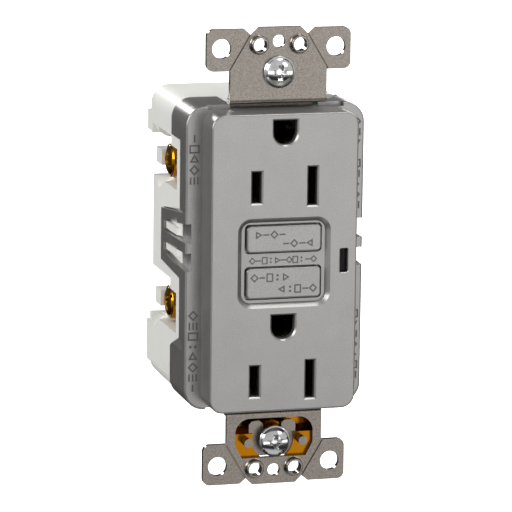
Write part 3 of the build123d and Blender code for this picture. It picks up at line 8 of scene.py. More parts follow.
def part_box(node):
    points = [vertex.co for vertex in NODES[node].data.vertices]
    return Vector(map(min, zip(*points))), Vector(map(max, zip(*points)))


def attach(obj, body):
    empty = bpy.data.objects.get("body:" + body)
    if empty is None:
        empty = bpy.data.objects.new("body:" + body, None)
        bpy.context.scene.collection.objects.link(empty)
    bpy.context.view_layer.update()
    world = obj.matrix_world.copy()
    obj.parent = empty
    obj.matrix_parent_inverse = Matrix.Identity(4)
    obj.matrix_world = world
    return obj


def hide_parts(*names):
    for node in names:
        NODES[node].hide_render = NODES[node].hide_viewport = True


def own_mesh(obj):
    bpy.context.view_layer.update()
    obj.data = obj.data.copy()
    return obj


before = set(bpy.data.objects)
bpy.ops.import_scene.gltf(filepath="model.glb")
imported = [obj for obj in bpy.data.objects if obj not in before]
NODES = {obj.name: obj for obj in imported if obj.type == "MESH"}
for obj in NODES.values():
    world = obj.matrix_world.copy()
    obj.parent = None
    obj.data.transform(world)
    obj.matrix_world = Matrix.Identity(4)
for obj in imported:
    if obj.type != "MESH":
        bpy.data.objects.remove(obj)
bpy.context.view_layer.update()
MM = 0.001


# ---- Front cover, test button and reset button ------------------------------------------------
# Three mouldings in grey nylon with a fine metallic flake in it. The tool is spark eroded, so
# the surface is an even satin; the cover snaps and screws to the rear housing.
def linear(code):
    """An sRGB hex colour as linear red, green, blue, alpha."""
    channels = [int(code[i:i + 2], 16) / 255 for i in (0, 2, 4)]
    return [c / 12.92 if c <= 0.04045 else ((c + 0.055) / 1.055) ** 2.4 for c in channels] + [1.0]


def add(tree, kind, inputs=None, **settings):
    """Add one shader node; inputs are values or the sockets that feed them."""
    made = tree.nodes.new("ShaderNode" + kind)
    for key, value in settings.items():
        setattr(made, key, value)
    for key, value in (inputs or {}).items():
        if isinstance(value, bpy.types.NodeSocket):
            tree.links.new(value, made.inputs[key])
        else:
            made.inputs[key].default_value = value
    return made


def new_material(name, surface):
    """An empty material with values on its surface shader; gives its tree, shader and place in metres."""
    material = bpy.data.materials.new(name)
    material.use_nodes = True
    tree = material.node_tree
    shader = tree.nodes["Principled BSDF"]
    for key, value in surface.items():
        shader.inputs[key].default_value = value
    place = add(tree, "TexCoord").outputs["Object"]
    return material, tree, shader, place


def two_tones(tree, factor, dark, light, low=0.35, high=0.65):
    """A colour that runs from dark to light as the factor goes from low to high."""
    ramp = add(tree, "ValToRGB", {"Fac": factor})
    for element, position, code in zip(ramp.color_ramp.elements, (low, high), (dark, light)):
        element.position, element.color = position, linear(code)
    return ramp.outputs["Color"]


def grained(name, dark, light, rough, grain_mm, bump_mm, surface=None, cloud_mm=8.0, spread=0.12):
    """A material whose colour, gloss and height vary with a fine grain on a wide, faint cloud."""
    material, tree, shader, place = new_material(name, surface or {})
    grain = add(tree, "TexNoise", {"Vector": place, "Scale": 1000 / grain_mm, "Detail": 2.0}).outputs["Fac"]
    cloud = add(tree, "TexNoise", {"Vector": place, "Scale": 1000 / cloud_mm, "Detail": 2.0}).outputs["Fac"]
    both = add(tree, "Mix", {"Factor": 0.35, "A": grain, "B": cloud}).outputs["Result"]
    tree.links.new(two_tones(tree, both, dark, light), shader.inputs["Base Color"])
    gloss = add(tree, "MapRange", {"Value": both, "From Min": 0.3, "From Max": 0.7,
                                   "To Min": rough * (1 - spread), "To Max": rough * (1 + spread)})
    tree.links.new(gloss.outputs["Result"], shader.inputs["Roughness"])
    bump = add(tree, "Bump", {"Height": grain, "Strength": 1.0, "Distance": bump_mm * MM})
    tree.links.new(bump.outputs["Normal"], shader.inputs["Normal"])
    return material


def finish_node(material, *names):
    """Give CAD nodes a material."""
    for name in names:
        slots = NODES[name].data.materials
        slots.clear()
        slots.append(material)


# Nylon 66, moulded satin: the flake gives it a soft metallic sheen and a speckle, drawn 0.24 mm wide.
grey_nylon = grained("grey_nylon_moulded_satin", "8D8C8A", "A09E9C", 0.33, 0.24, 0.003, {"Metallic": 0.7})
finish_node(grey_nylon, "front_cover", "test_button", "reset_button")
# The marks on the buttons are sunk in the real ones and hold shade; every mark takes a darker tone, which is
# painted shade.
mark_painted_shade_grey = grained("grey_nylon_in_shade", "656361", "706E6C", 0.5, 0.3, 0.003, {"Metallic": 0.4})


# Raised and sunk marks: plain shapes in rows, in place of any lettering.
def circle(cx, cy, radius, steps):
    """The corners of a regular outline: few steps give a triangle or a diamond, many a dot."""
    return [(cx + radius * math.cos(math.tau * k / steps), cy + radius * math.sin(math.tau * k / steps))
            for k in range(steps)]


def bar(cx, cy, width, height):
    """The corners of an upright oblong."""
    return [(cx - width / 2, cy - height / 2), (cx + width / 2, cy - height / 2),
            (cx + width / 2, cy + height / 2), (cx - width / 2, cy + height / 2)]


def glyph(kind, cx, cy, size, stroke):
    """The outlines of one plain mark: a diamond, a square, a pointer, a dash, three bars or two dots."""
    half, width, gap = size / 2, size * 0.7, size * 0.36
    if kind == "diamond":
        return [circle(cx, cy, half, 4), circle(cx, cy, half - 1.4 * stroke, 4)]
    if kind == "square":
        return [bar(cx, cy, size * 0.8, size), bar(cx, cy, size * 0.8 - 2 * stroke, size - 2 * stroke)]
    if kind == "pointer":
        return [circle(cx, cy, half * 1.05, 3), circle(cx, cy, half * 1.05 - 2 * stroke, 3)]
    if kind == "dash":
        return [bar(cx, cy, width, stroke * 1.1)]
    if kind == "bars":
        return [bar(cx, cy + shift, width, stroke) for shift in (-gap, 0, gap)]
    return [circle(cx, cy - size * 0.25, stroke, 16), circle(cx, cy + size * 0.25, stroke, 16)]


MARK_EDGE = 0.02


def mark_row(name, kinds, size, pitch, stroke, place, turn, body, rise):
    """A row of marks that stands rise above a face that looks to -Y; place is its middle in mm."""
    outline = bpy.data.curves.new(name, "CURVE")
    outline.dimensions, outline.fill_mode = "2D", "BOTH"
    outline.extrude = rise * MM
    outline.bevel_depth = MARK_EDGE * MM
    for index, kind in enumerate(kinds):
        for points in glyph(kind, (index - (len(kinds) - 1) / 2) * pitch, 0, size, stroke):
            spline = outline.splines.new("POLY")
            spline.points.add(len(points) - 1)
            spline.points.foreach_set("co", [c for x, y in points for c in (x * MM, y * MM, 0, 1)])
            spline.use_cyclic_u = True
    drawn = bpy.data.objects.new(name, outline)
    bpy.context.scene.collection.objects.link(drawn)
    mesh = bpy.data.meshes.new_from_object(drawn)
    bpy.data.objects.remove(drawn)
    x, y, z = place
    mesh.transform(Matrix.Translation((x * MM, y * MM, z * MM)) @ Matrix.Rotation(math.radians(90), 4, "X")
                   @ Matrix.Rotation(math.radians(turn), 4, "Z"))
    # The marks take the darker grey: painted shade.
    mesh.materials.append(mark_painted_shade_grey)
    piece = bpy.data.objects.new(name, mesh)
    bpy.context.scene.collection.objects.link(piece)
    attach(piece, body)


BUTTON_FRONT_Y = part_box("test_button")[0][1] / MM
FACE_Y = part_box("front_cover")[0][1] / MM
# Each button carries its row twice, once upright and once turned, either side of its middle.
# Button: height of its middle, distance of each row from it, pitch of the marks, marks.
BUTTON_ROWS = {"test": (5.5, 1.05, 1.85, ("pointer", "dash", "diamond", "dash")),
               "reset": (-4.4, 1.35, 1.75, ("diamond", "dash", "square", "dots", "pointer"))}
BUTTON_MARK_SIZE, BUTTON_MARK_STROKE, BUTTON_ROW_X = 1.9, 0.26, 3.2
for label, (middle_z, drop, pitch, kinds) in BUTTON_ROWS.items():
    for way, side, turn in (("upright", -1, 0), ("inverted", 1, 180)):
        mark_row(f"{label}_marks_{way}", kinds, BUTTON_MARK_SIZE, pitch, BUTTON_MARK_STROKE,
                 (side * BUTTON_ROW_X, BUTTON_FRONT_Y, middle_z - side * drop), turn,
                 f"{label}_button", rise=0.02)

# The strip between the buttons lies at the bottom of the recess round them.
RECESS_DEPTH, STRIP_Z = 1.0, 0.62
STRIP_MARKS = ("diamond", "dash", "square", "dots", "pointer", "dash",
               "diamond", "square", "dots", "dash", "diamond")
mark_row("strip_marks", STRIP_MARKS, 1.6, 1.4, 0.2, (0, FACE_Y + RECESS_DEPTH, STRIP_Z), 0,
         "housing", rise=0.03)

# The shoulders at both sides of the face carry rows that run up and down.
SHOULDER_Y, SHOULDER_X = 0.5, 18.5
SHOULDER_MARK_SIZE, SHOULDER_PITCH, SHOULDER_STROKE = 2.3, 2.35, 0.3
for label, side, middle_z, kinds in (
        ("upper_left", -1, 22.4, ("bars", "diamond", "pointer", "square", "dash")),
        ("lower_left", -1, -20.9, ("dash", "bars", "diamond", "pointer", "dots", "square", "bars",
                                   "diamond")),
        ("upper_right", 1, 20.4, ("diamond", "bars", "pointer", "dash", "square", "bars", "dots", "diamond",
                                  "bars")),
        ("lower_right", 1, -20.8, ("dash", "square", "pointer", "bars", "diamond", "dots", "square", "bars",
                                   "dash"))):
    mark_row(f"shoulder_marks_{label}", kinds, SHOULDER_MARK_SIZE, SHOULDER_PITCH, SHOULDER_STROKE,
             (side * SHOULDER_X, SHOULDER_Y, middle_z), -90 * side, "housing", rise=0.06)


# ---- Rear housing ------------------------------------------------------------------------------
# One moulding in off-white polyester with a satin skin. Its four screws come in from the back.
# Polyester, moulded: warm white, with flow marks 9 mm wide and a skin texture drawn 0.5 mm wide.
white_plastic = grained("white_polyester_moulded", "E4E4DF", "EBEBE6", 0.46, 0.5, 0.003,
                        {"Subsurface Weight": 0.04, "Subsurface Radius": (0.6 * MM, 0.5 * MM, 0.4 * MM),
                         "Subsurface Scale": 1.0}, cloud_mm=9.0)
finish_node(white_plastic, "rear_housing")


# ---- Mounting strap ----------------------------------------------------------------------------
# Steel sheet 1.2 mm thick, blanked, bent, drawn into collars and zinc plated. The rolled faces
# keep a satin speckle, and the cut edges, bends and drawn collars are smeared bright by the tool.
SPECKLE_MM, SPECKLE_HEIGHT = 0.22, 0.0025


def strap_steel():
    """Zinc on steel: warm grey; satin where the sheet is flat, and bright elsewhere."""
    material, tree, shader, place = new_material("zinc_plated_steel_sheet", {"Metallic": 1.0})
    speckle = add(tree, "TexNoise", {"Vector": place, "Scale": 1 / (SPECKLE_MM * MM),
                                     "Detail": 3.0}).outputs["Fac"]
    tone = two_tones(tree, speckle, "7E7770", "A19A93", 0.36, 0.64)
    tree.links.new(tone, shader.inputs["Base Color"])
    facing = add(tree, "SeparateXYZ", {"Vector": add(tree, "NewGeometry").outputs["True Normal"]})
    flat = add(tree, "Math", {0: facing.outputs["Y"]}, operation="ABSOLUTE").outputs[0]
    rough = add(tree, "MapRange", {"Value": flat, "From Min": 0.9, "From Max": 0.97,
                                   "To Min": 0.12, "To Max": 0.42}).outputs["Result"]
    share = add(tree, "MapRange", {"Value": speckle, "To Min": 0.8, "To Max": 1.2}).outputs["Result"]
    varied = add(tree, "Math", {0: rough, 1: share}, operation="MULTIPLY")
    tree.links.new(varied.outputs[0], shader.inputs["Roughness"])
    bump = add(tree, "Bump", {"Height": speckle, "Strength": 1.0, "Distance": SPECKLE_HEIGHT * MM})
    tree.links.new(bump.outputs["Normal"], shader.inputs["Normal"])
    return material


zinc_sheet = strap_steel()
finish_node(zinc_sheet, "mounting_strap", "screw_retainer")


# ---- Grounding clip, internal contacts and terminals -----------------------------------------------
# Spring brass strip, stamped and formed. The clip and the hot terminals are bright, the neutral
# ones nickel plated, and the contacts deep inside are painted nearly black as painted shade in their slots.
METAL = {"Metallic": 1.0}
# Brass strip as rolled: deep yellow and nearly a mirror.
bright_brass = grained("brass_strip_bright", "A87512", "C48C1E", 0.15, 0.5, 0.0003, METAL,
                       cloud_mm=3.0, spread=0.25)
# Spring temper brass: darker, smooth, with a soft glow.
clip_brass = grained("brass_strip_spring", "86560A", "945F0C", 0.2, 0.4, 0.0001, METAL,
                     cloud_mm=2.5, spread=0.15)
# Brass painted nearly black, deep in the case: painted shade, so the slots look dark.
brass_painted_slot_shade = grained("brass_strip_painted_shade", "171208", "241C0C", 0.6, 0.4, 0.001, METAL)
# Nickel plate over brass: warm white and bright.
nickel = grained("nickel_plated_brass", "C2BEB4", "D4D0C8", 0.16, 0.5, 0.001, METAL, cloud_mm=3.0, spread=0.4)
# Silver rivets of the switching contacts: pale, with a satin face.
silver = grained("silver_contact_rivet", "A8A8A6", "CFCFCD", 0.3, 0.3, 0.002, METAL)
finish_node(clip_brass, "grounding_clip")
# The contacts deep in the slots take the nearly black brass: painted shade.
finish_node(brass_painted_slot_shade, "hot_contact", "neutral_contact", "upper_ground_contact", "lower_ground_contact",
            "test_blade", "test_contact", "hot_contact_arm", "neutral_contact_arm",
            "hot_arm_post", "neutral_arm_post")
finish_node(silver, "hot_fixed_contact", "neutral_fixed_contact")
for row in ("line", "load"):
    for side_name, metal_finish in (("hot", bright_brass), ("neutral", nickel)):
        finish_node(metal_finish, f"{row}_{side_name}_terminal", f"{row}_{side_name}_clamp")


# ---- Screws -------------------------------------------------------------------------------------
# Cold-headed steel or brass screws with rolled 0.794 mm threads. Their heads take a flat or a
# crossed driver. They replace the plain CAD screws and ride on the same bodies.
THREAD_PITCH = 0.794


def ring_shell(form, profile, steps):
    """Faces round local Z through (radius, depth) pairs; a radius of zero closes an end."""
    rows = []
    for radius, depth in profile:
        if radius == 0:
            rows.append([form.verts.new((0, 0, depth))])
            continue
        rows.append([form.verts.new((radius * math.cos(math.tau * k / steps),
                                     radius * math.sin(math.tau * k / steps), depth)) for k in range(steps)])
    for first, second in zip(rows, rows[1:]):
        for k in range(steps):
            after = (k + 1) % steps
            if len(first) == 1:
                form.faces.new((first[0], second[after], second[k]))
            elif len(second) == 1:
                form.faces.new((first[k], first[after], second[0]))
            else:
                form.faces.new((first[k], first[after], second[after], second[k]))
    bmesh.ops.recalc_face_normals(form, faces=form.faces)


def threaded(form, start, end, core, crest):
    """A closed shank whose surface rises and falls as a helical thread, tapered at its far end."""
    steps, per_turn = 32, 8
    flank, flat_crest, tip_share = 2.4, 1.25, 0.8
    count = max(2, round((end - start) / THREAD_PITCH * per_turn))
    rows = []
    for level in range(count + 1):
        depth = start + (end - start) * level / count
        fade = min(1.0, (count - level) / per_turn)
        row = []
        for k in range(steps):
            phase = (depth / THREAD_PITCH - k / steps) % 1.0
            ridge = max(0.0, 1.0 - abs(phase - 0.5) * flank)
            radius = (core * (tip_share + (1 - tip_share) * fade)
                      + (crest - core) * min(1.0, flat_crest * ridge) * fade)
            row.append(form.verts.new((radius * math.cos(math.tau * k / steps),
                                       radius * math.sin(math.tau * k / steps), depth)))
        rows.append(row)
    for first, second in zip(rows, rows[1:]):
        for k in range(steps):
            form.faces.new((first[k], first[(k + 1) % steps], second[(k + 1) % steps], second[k]))
    form.faces.new(rows[0])
    form.faces.new(rows[-1])
    bmesh.ops.recalc_face_normals(form, faces=form.faces)


def mesh_object(name, form):
    """A linked object from mesh-building data."""
    mesh = bpy.data.meshes.new(name)
    form.to_mesh(mesh)
    form.free()
    made = bpy.data.objects.new(name, mesh)
    bpy.context.scene.collection.objects.link(made)
    return made


def wedge(width, length, tip_width, tip_length, top, bottom):
    """A tapered block in mm, the shape that a driver's blade punches."""
    form = bmesh.new()
    corners = ((-1, -1), (1, -1), (1, 1), (-1, 1))
    rings = [[form.verts.new((sx * w / 2, sy * h / 2, z)) for sx, sy in corners]
             for w, h, z in ((length, width, top), (tip_length, tip_width, bottom))]
    for k in range(4):
        form.faces.new((rings[0][k], rings[0][(k + 1) % 4], rings[1][(k + 1) % 4], rings[1][k]))
    form.faces.new(rings[0])
    form.faces.new(rings[1])
    bmesh.ops.recalc_face_normals(form, faces=form.faces)
    return mesh_object("punch", form)


def applied(piece):
    """Swap a piece's mesh for the one its modifiers give."""
    graph = bpy.context.evaluated_depsgraph_get()
    mesh = bpy.data.meshes.new_from_object(piece.evaluated_get(graph))
    piece.modifiers.clear()
    piece.data = mesh


def screw_head(radius, thick, dome, slot, cross, depth):
    """A headed blank in mm, top at depth 0, with a slot and a cross punched in it."""
    form = bmesh.new()
    sweep = math.radians(60)
    angles = [sweep * k / 10 for k in range(1, 11)]
    crown = [(radius * 0.88 * math.sin(a) / math.sin(sweep), dome * (1 - math.cos(a)) / (1 - math.cos(sweep)))
             for a in angles]
    rim = [(radius * 0.9, dome + 0.12), (radius * 0.98, dome + 0.16), (radius, dome + 0.26)]
    underside = [(radius, thick - 0.15), (radius - 0.15, thick), (0, thick)]
    profile = [(0, 0)] + crown + rim + underside
    ring_shell(form, profile, 72)
    head = mesh_object("head", form)
    punches = [wedge(slot, 2.4 * radius, slot * 0.85, 2.4 * radius, -1.0, depth),
               wedge(cross * 0.30, cross, cross * 0.2, cross * 0.3, -0.05, depth + 0.75),
               wedge(cross, cross * 0.30, cross * 0.3, cross * 0.2, -0.05, depth + 0.75)]
    for punch in punches:
        cut = head.modifiers.new("punch", "BOOLEAN")
        cut.operation, cut.solver, cut.object = "DIFFERENCE", "EXACT", punch
        applied(head)
    for punch in punches:
        bpy.data.objects.remove(punch)
    edge = head.modifiers.new("edge", "BEVEL")
    edge.width, edge.segments, edge.limit_method, edge.angle_limit = 0.07, 2, "ANGLE", math.radians(38)
    applied(head)
    mesh = head.data
    bpy.data.objects.remove(head)
    return mesh


def place_screw(name, head, shank, point, inward, turn, material, body, node):
    """Put a head and a shank at a point in mm, with their depth along the inward direction."""
    form = bmesh.new()
    form.from_mesh(head)
    form.from_mesh(shank)
    piece = mesh_object(name, form)
    facing = Vector(inward).to_track_quat("Z", "Y").to_matrix().to_4x4()
    piece.data.transform(Matrix.Scale(MM, 4) @ Matrix.Translation(point) @ facing
                         @ Matrix.Rotation(math.radians(turn), 4, "Z"))
    piece.data.polygons.foreach_set("use_smooth", [True] * len(piece.data.polygons))
    piece.data.set_sharp_from_angle(angle=math.radians(35))
    piece.data.materials.append(material)
    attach(piece, body)
    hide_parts(node)


def shank_mesh(start, neck_end, end, neck, core, crest):
    """A plain neck and a threaded length, in mm below the top of the head."""
    form = bmesh.new()
    if neck_end > start:
        ring_shell(form, [(0, start), (neck, start), (neck, neck_end + 0.2), (0, neck_end + 0.2)], 32)
    threaded(form, max(start, neck_end), end, core, crest)
    mesh = bpy.data.meshes.new("shank")
    form.to_mesh(mesh)
    form.free()
    return mesh


# Nickel plate over steel: mirror bright, with polishing ripples drawn 1.2 mm wide.
bright_plate = grained("nickel_plated_steel_bright", "BEBEBE", "D6D6D6", 0.12, 1.2, 0.0003, METAL, spread=0.4)
# Zinc over steel with a green dichromate dip: the required colour of a ground screw.
green_plate = grained("green_dichromate_on_steel", "12401F", "1E5A2E", 0.3, 0.5, 0.002, {"Metallic": 0.7})
# Plain bright zinc on the small screws that close the case.
bright_zinc = grained("zinc_plated_steel_bright", "A6A8AC", "C0C2C6", 0.3, 0.4, 0.002, METAL)

# The box screws stand one above and one below, and their threads start behind the strap.
BOX_SCREW_Z = 83.34 / 2
BOX_HEAD_FRONT_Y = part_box("upper_box_screw")[0][1] / MM
BOX_THREAD_Y, BOX_TIP_Y = 7.2, 22.0
box_head = screw_head(radius=3.55, thick=2.08, dome=1.15, slot=0.95, cross=4.1, depth=0.85)
box_shank = shank_mesh(start=1.9, neck_end=BOX_THREAD_Y - BOX_HEAD_FRONT_Y, end=BOX_TIP_Y - BOX_HEAD_FRONT_Y,
                       neck=1.45, core=1.38, crest=1.75)
for end_name, end, turn in (("upper", 1, 2), ("lower", -1, -3)):
    place_screw(f"{end_name}_box_screw_plated", box_head, box_shank,
                (0, BOX_HEAD_FRONT_Y, end * BOX_SCREW_Z), (0, 1, 0), turn, bright_plate,
                f"{end_name}_box_screw", f"{end_name}_box_screw")

# The terminal screws sit in the sides, brass for the hot wires and nickel plated for the neutral.
terminal_head = screw_head(radius=3.85, thick=2.2, dome=0.75, slot=1.0, cross=4.4, depth=0.9)
terminal_shank = shank_mesh(start=2.0, neck_end=2.0, end=6.6, neck=2.0, core=1.68, crest=2.085)
for row, turn in (("line", 25), ("load", -35)):
    for side_name, side, metal_finish, slot_name in (("hot", -1, bright_brass, "brass"),
                                                     ("neutral", 1, nickel, "nickel")):
        screw = f"{row}_{side_name}_screw"
        low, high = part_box(screw)
        middle = [(a + b) / 2 / MM for a, b in zip(low, high)]
        face_x = (high[0] if side > 0 else low[0]) / MM
        place_screw(f"{screw}_headed", terminal_head, terminal_shank, (face_x, middle[1], middle[2]),
                    (-side, 0, 0), turn, metal_finish, screw, screw)

low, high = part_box("ground_screw")
ground_head = screw_head(radius=3.1, thick=2.1, dome=0.6, slot=0.9, cross=3.4, depth=0.8)
ground_shank = shank_mesh(start=1.9, neck_end=1.9, end=4.9, neck=2.0, core=1.68, crest=2.085)
place_screw("ground_screw_headed", ground_head, ground_shank,
            (high[0] / MM, (low[1] + high[1]) / 2 / MM, (low[2] + high[2]) / 2 / MM), (-1, 0, 0), 15,
            green_plate, "ground_screw", "ground_screw")
finish_node(bright_zinc, "housing_screws")


# ---- Trip mechanism ----------------------------------------------------------------------------
# Everything sealed inside: moulded frames, the board and its parts, the solenoid and its latch,
# and the two current sensors. Each keeps its CAD shape and takes its real finish.
# Nylon filled with glass fibre: black, with fibre ends drawn 0.4 mm wide.
black_nylon = grained("black_nylon_glass_filled", "141415", "232325", 0.5, 0.4, 0.006)
finish_node(black_nylon, "inner_frame", "lifter", "toroid_carrier")
# Unfilled nylon of the coil former: milky white.
milky_nylon = grained("natural_nylon_moulded", "D6D2C2", "E4E1D4", 0.4, 0.6, 0.003)
finish_node(milky_nylon, "solenoid_bobbin")
# Plain low-carbon steel of the magnetic parts, oiled and dark.
magnet_steel = grained("mild_steel_oiled", "5C5B5A", "777674", 0.36, 0.5, 0.002, METAL)
finish_node(magnet_steel, "solenoid_yoke", "solenoid_plunger", "latch_plate")
# Drawn spring wire, bright, with die lines.
spring_wire = grained("spring_wire_drawn", "7E7E80", "A2A2A4", 0.25, 0.15, 0.002, METAL)
finish_node(spring_wire, "reset_spring", "plunger_spring", "reset_pin")
# In the outlet the return spring is squeezed as the plunger rises, its upper end on the yoke. Here it is a
# copy of the CAD spring with a mesh of its own, carried by the housing, and the CAD spring is hidden.
open_spring = NODES["plunger_spring"]
return_spring = open_spring.copy()
return_spring.name = "return_spring"
return_spring.data = open_spring.data.copy()
bpy.context.collection.objects.link(return_spring)
return_spring.parent = None
return_spring.matrix_world = open_spring.matrix_world.copy()
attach(return_spring, "housing")
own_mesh(return_spring)
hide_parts("plunger_spring")


BAND_HEIGHT = 0.06


def wound(name, dark, light, axis, band_mm, surface, rough=0.3):
    """Bands across an axis with rounded height: turns of wire, laps of tape, a weave or painted rings."""
    material, tree, shader, place = new_material(name, dict(surface, Roughness=rough))
    turns = add(tree, "TexWave", {"Vector": place, "Scale": 1000 / band_mm / 20, "Distortion": 0.4,
                                  "Detail": 1.0, "Detail Scale": 2.0}, bands_direction=axis)
    tree.links.new(two_tones(tree, turns.outputs["Fac"], dark, light, 0.1, 0.8), shader.inputs["Base Color"])
    bump = add(tree, "Bump", {"Height": turns.outputs["Fac"], "Strength": 1.0, "Distance": BAND_HEIGHT * MM})
    tree.links.new(bump.outputs["Normal"], shader.inputs["Normal"])
    return material


# Enamelled copper: deep orange wire 0.15 mm thick, drawn 0.3 mm so that the turns show.
copper_coil = wound("enamelled_copper_wound", "6E2E0E", "C06A30", "Z", 0.3, METAL)
finish_node(copper_coil, "solenoid_coil")
# Polyester tape, amber and glossy, lapped round each sensor over its winding, 3 mm a lap.
amber_tape = wound("amber_polyester_tape", "8A6212", "B98A22", "DIAGONAL", 3.0, {"Coat Weight": 0.4},
                   rough=0.25)
finish_node(amber_tape, "sense_toroid", "neutral_toroid")
# Bare copper of the line leads, salmon pink where it is freshly cut.
copper_wire = grained("copper_wire_bare", "A65A2C", "C9773F", 0.28, 0.3, 0.001, METAL)
finish_node(copper_wire, "line_leads")
# Glass epoxy board under green solder mask; the 0.6 mm weave shows through it.
green_board = wound("solder_mask_green", "0E3B1C", "17552B", "X", 0.6, {"Coat Weight": 0.5}, rough=0.35)
finish_node(green_board, "circuit_board")
# Dipped epoxy, thick and glossy with a slight orange peel.
blue_epoxy = grained("blue_epoxy_dipped", "143A86", "1E4C9E", 0.22, 1.2, 0.02)
finish_node(blue_epoxy, "varistor")
# Moulded polyester box of the capacitor: flat mustard yellow.
yellow_case = grained("yellow_polyester_case", "C29A1E", "D6AE30", 0.35, 0.5, 0.003)
finish_node(yellow_case, "capacitor")
# Transfer-moulded epoxy of chips and diodes: near black, with a matte skin.
chip_epoxy = grained("black_epoxy_moulded", "121212", "1F1F20", 0.6, 0.2, 0.003)
finish_node(chip_epoxy, "control_chip", "trip_thyristor", "diodes")
# Resistor lacquer: sand coloured, with colour bands across the body.
sand_lacquer = wound("sand_lacquer_banded", "7A3A1C", "C8AE84", "Z", 2.6, {"Coat Weight": 0.3})
finish_node(sand_lacquer, "resistors")
# Vulcanised fibre: brick red and slightly hairy.
red_fibre = grained("vulcanised_fibre_red", "6E2418", "8A3424", 0.7, 0.15, 0.01)
finish_node(red_fibre, "retaining_washer")
# Smoked polycarbonate light pipe over an unlit lamp in milky epoxy.
smoked_lens = grained("smoked_polycarbonate", "040404", "080808", 0.3, 1.5, 0.001,
                      {"Specular IOR Level": 0.12})
finish_node(smoked_lens, "light_pipe")
milky_epoxy = grained("milky_epoxy_lamp", "B9C2AC", "CBD2C0", 0.3, 0.5, 0.002)
finish_node(milky_epoxy, "indicator_led")


# ---- Stage, light and camera --------------------------------------------------------------------
# A pale paper sweep below and behind the outlet, with soft boxes all round it and above.
FIBRE_SIZE = 0.02


def stage_sheet():
    """A floor that curves up into a backdrop."""
    form = bmesh.new()
    front, back, radius, low, high, half_width = -2.5, 1.2, 0.5, -0.075, 1.5, 2.0
    line = [(front, low)] + [(back - radius + radius * math.sin(a), low + radius - radius * math.cos(a))
                             for a in [math.radians(5 * k) for k in range(19)]] + [(back, high)]
    rows = [[form.verts.new((x, y, z)) for x in (-half_width, half_width)] for y, z in line]
    for first, second in zip(rows, rows[1:]):
        form.faces.new((first[0], first[1], second[1], second[0]))
    mesh = bpy.data.meshes.new("sweep")
    form.to_mesh(mesh)
    form.free()
    mesh.polygons.foreach_set("use_smooth", [True] * len(mesh.polygons))
    sheet = bpy.data.objects.new("sweep", mesh)
    bpy.context.scene.collection.objects.link(sheet)
    material, tree, shader, place = new_material("pale_paper", {"Roughness": 0.9})
    fibre = add(tree, "TexNoise", {"Vector": place, "Scale": 1 / FIBRE_SIZE})
    shade = add(tree, "ValToRGB", {"Fac": fibre.outputs["Fac"]})
    shade.color_ramp.elements[0].color = linear("F8F8F8")
    shade.color_ramp.elements[1].color = linear("FCFCFC")
    tree.links.new(shade.outputs["Color"], shader.inputs["Base Color"])
    tree.links.new(shade.outputs["Color"], shader.inputs["Emission Color"])
    shader.inputs["Emission Strength"].default_value = 1.0
    mesh.materials.append(material)
    sheet.visible_glossy = sheet.visible_diffuse = False


def soft_box(name, place, target, width, height, watts):
    """An area light that faces a point."""
    data = bpy.data.lights.new(name, "AREA")
    data.shape, data.size, data.size_y, data.energy = "RECTANGLE", width, height, watts
    lamp = bpy.data.objects.new(name, data)
    lamp.location = place
    lamp.rotation_euler = (Vector(target) - Vector(place)).to_track_quat("-Z", "Y").to_euler()
    bpy.context.scene.collection.objects.link(lamp)


stage_sheet()
soft_box("key", (0.75, -0.75, 0.65), (0, 0, 0), 0.45, 0.45, 1.6)
soft_box("front", (0.38, -1.2, -0.12), (0, 0, 0), 0.75, 0.6, 2.3)
soft_box("top", (0.27, -0.19, 1.0), (0, 0, 0), 0.45, 0.3, 2.4)
soft_box("back", (0.75, 1.0, 0.3), (0, 0, 0), 0.7, 0.5, 5.5)
soft_box("rim", (-0.2, 1.1, 0.34), (0, 0, 0), 0.22, 0.16, 1.5)
soft_box("left", (-1.0, -0.25, 0.45), (0, 0, 0), 0.6, 0.6, 8.0)


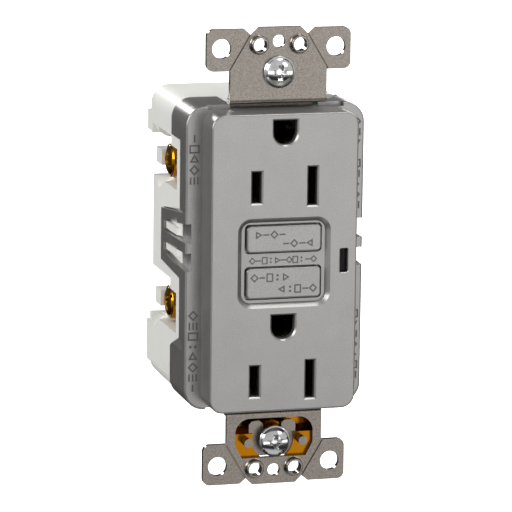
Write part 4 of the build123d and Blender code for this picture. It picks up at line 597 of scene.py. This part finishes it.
def studio_world():
    """A dim room: light above, in front and straight below, dark along the floor and behind."""
    world = bpy.context.scene.world or bpy.data.worlds.new("studio")
    bpy.context.scene.world = world
    world.use_nodes = True
    tree = world.node_tree
    way = add(tree, "SeparateXYZ", {"Vector": add(tree, "TexCoord").outputs["Generated"]}).outputs

    def slope(value, start, end, low, high):
        return add(tree, "MapRange", {"Value": value, "From Min": start, "From Max": end, "To Min": low,
                                      "To Max": high}, interpolation_type="SMOOTHSTEP").outputs["Result"]

    def times(first, second):
        return add(tree, "Math", {0: first, 1: second}, operation="MULTIPLY").outputs[0]

    sky = slope(way["Z"], -0.55, 0.05, 0.04, 0.72)
    ground = slope(way["Z"], -0.7, -0.85, 0.0, 0.7)
    height = add(tree, "Math", {0: sky, 1: ground}, operation="ADD").outputs[0]
    depth = slope(way["Y"], -0.1, 0.6, 1.0, 0.12)
    tree.links.new(times(height, depth), tree.nodes["Background"].inputs["Strength"])
    tree.nodes["Background"].inputs["Color"].default_value = (1, 1, 1, 1)


studio_world()

# The camera looks down a little from the left, far off with a long lens.
CAMERA_TARGET = Vector((-0.00468, -0.0012, 0.00062))
CAMERA_DISTANCE = 0.8
CAMERA_TURN = math.radians(15.3)
CAMERA_RISE = math.radians(11.32)
CAMERA_ROLL = math.radians(0.69)
CAMERA_LENS = 254.2
SENSOR_WIDTH = 36.0
away = Vector((-math.sin(CAMERA_TURN) * math.cos(CAMERA_RISE), -math.cos(CAMERA_TURN) * math.cos(CAMERA_RISE),
               math.sin(CAMERA_RISE)))
camera_data = bpy.data.cameras.new("camera")
camera_data.lens = CAMERA_LENS
camera_data.sensor_width = SENSOR_WIDTH
camera_data.clip_start = 0.01
camera = bpy.data.objects.new("camera", camera_data)
bpy.context.scene.collection.objects.link(camera)
turn = (-away).to_track_quat("-Z", "Y").to_matrix().to_4x4() @ Matrix.Rotation(CAMERA_ROLL, 4, "Z")
camera.matrix_world = Matrix.Translation(CAMERA_TARGET + away * CAMERA_DISTANCE) @ turn
bpy.context.scene.camera = camera
bpy.context.scene.view_settings.view_transform = "Standard"
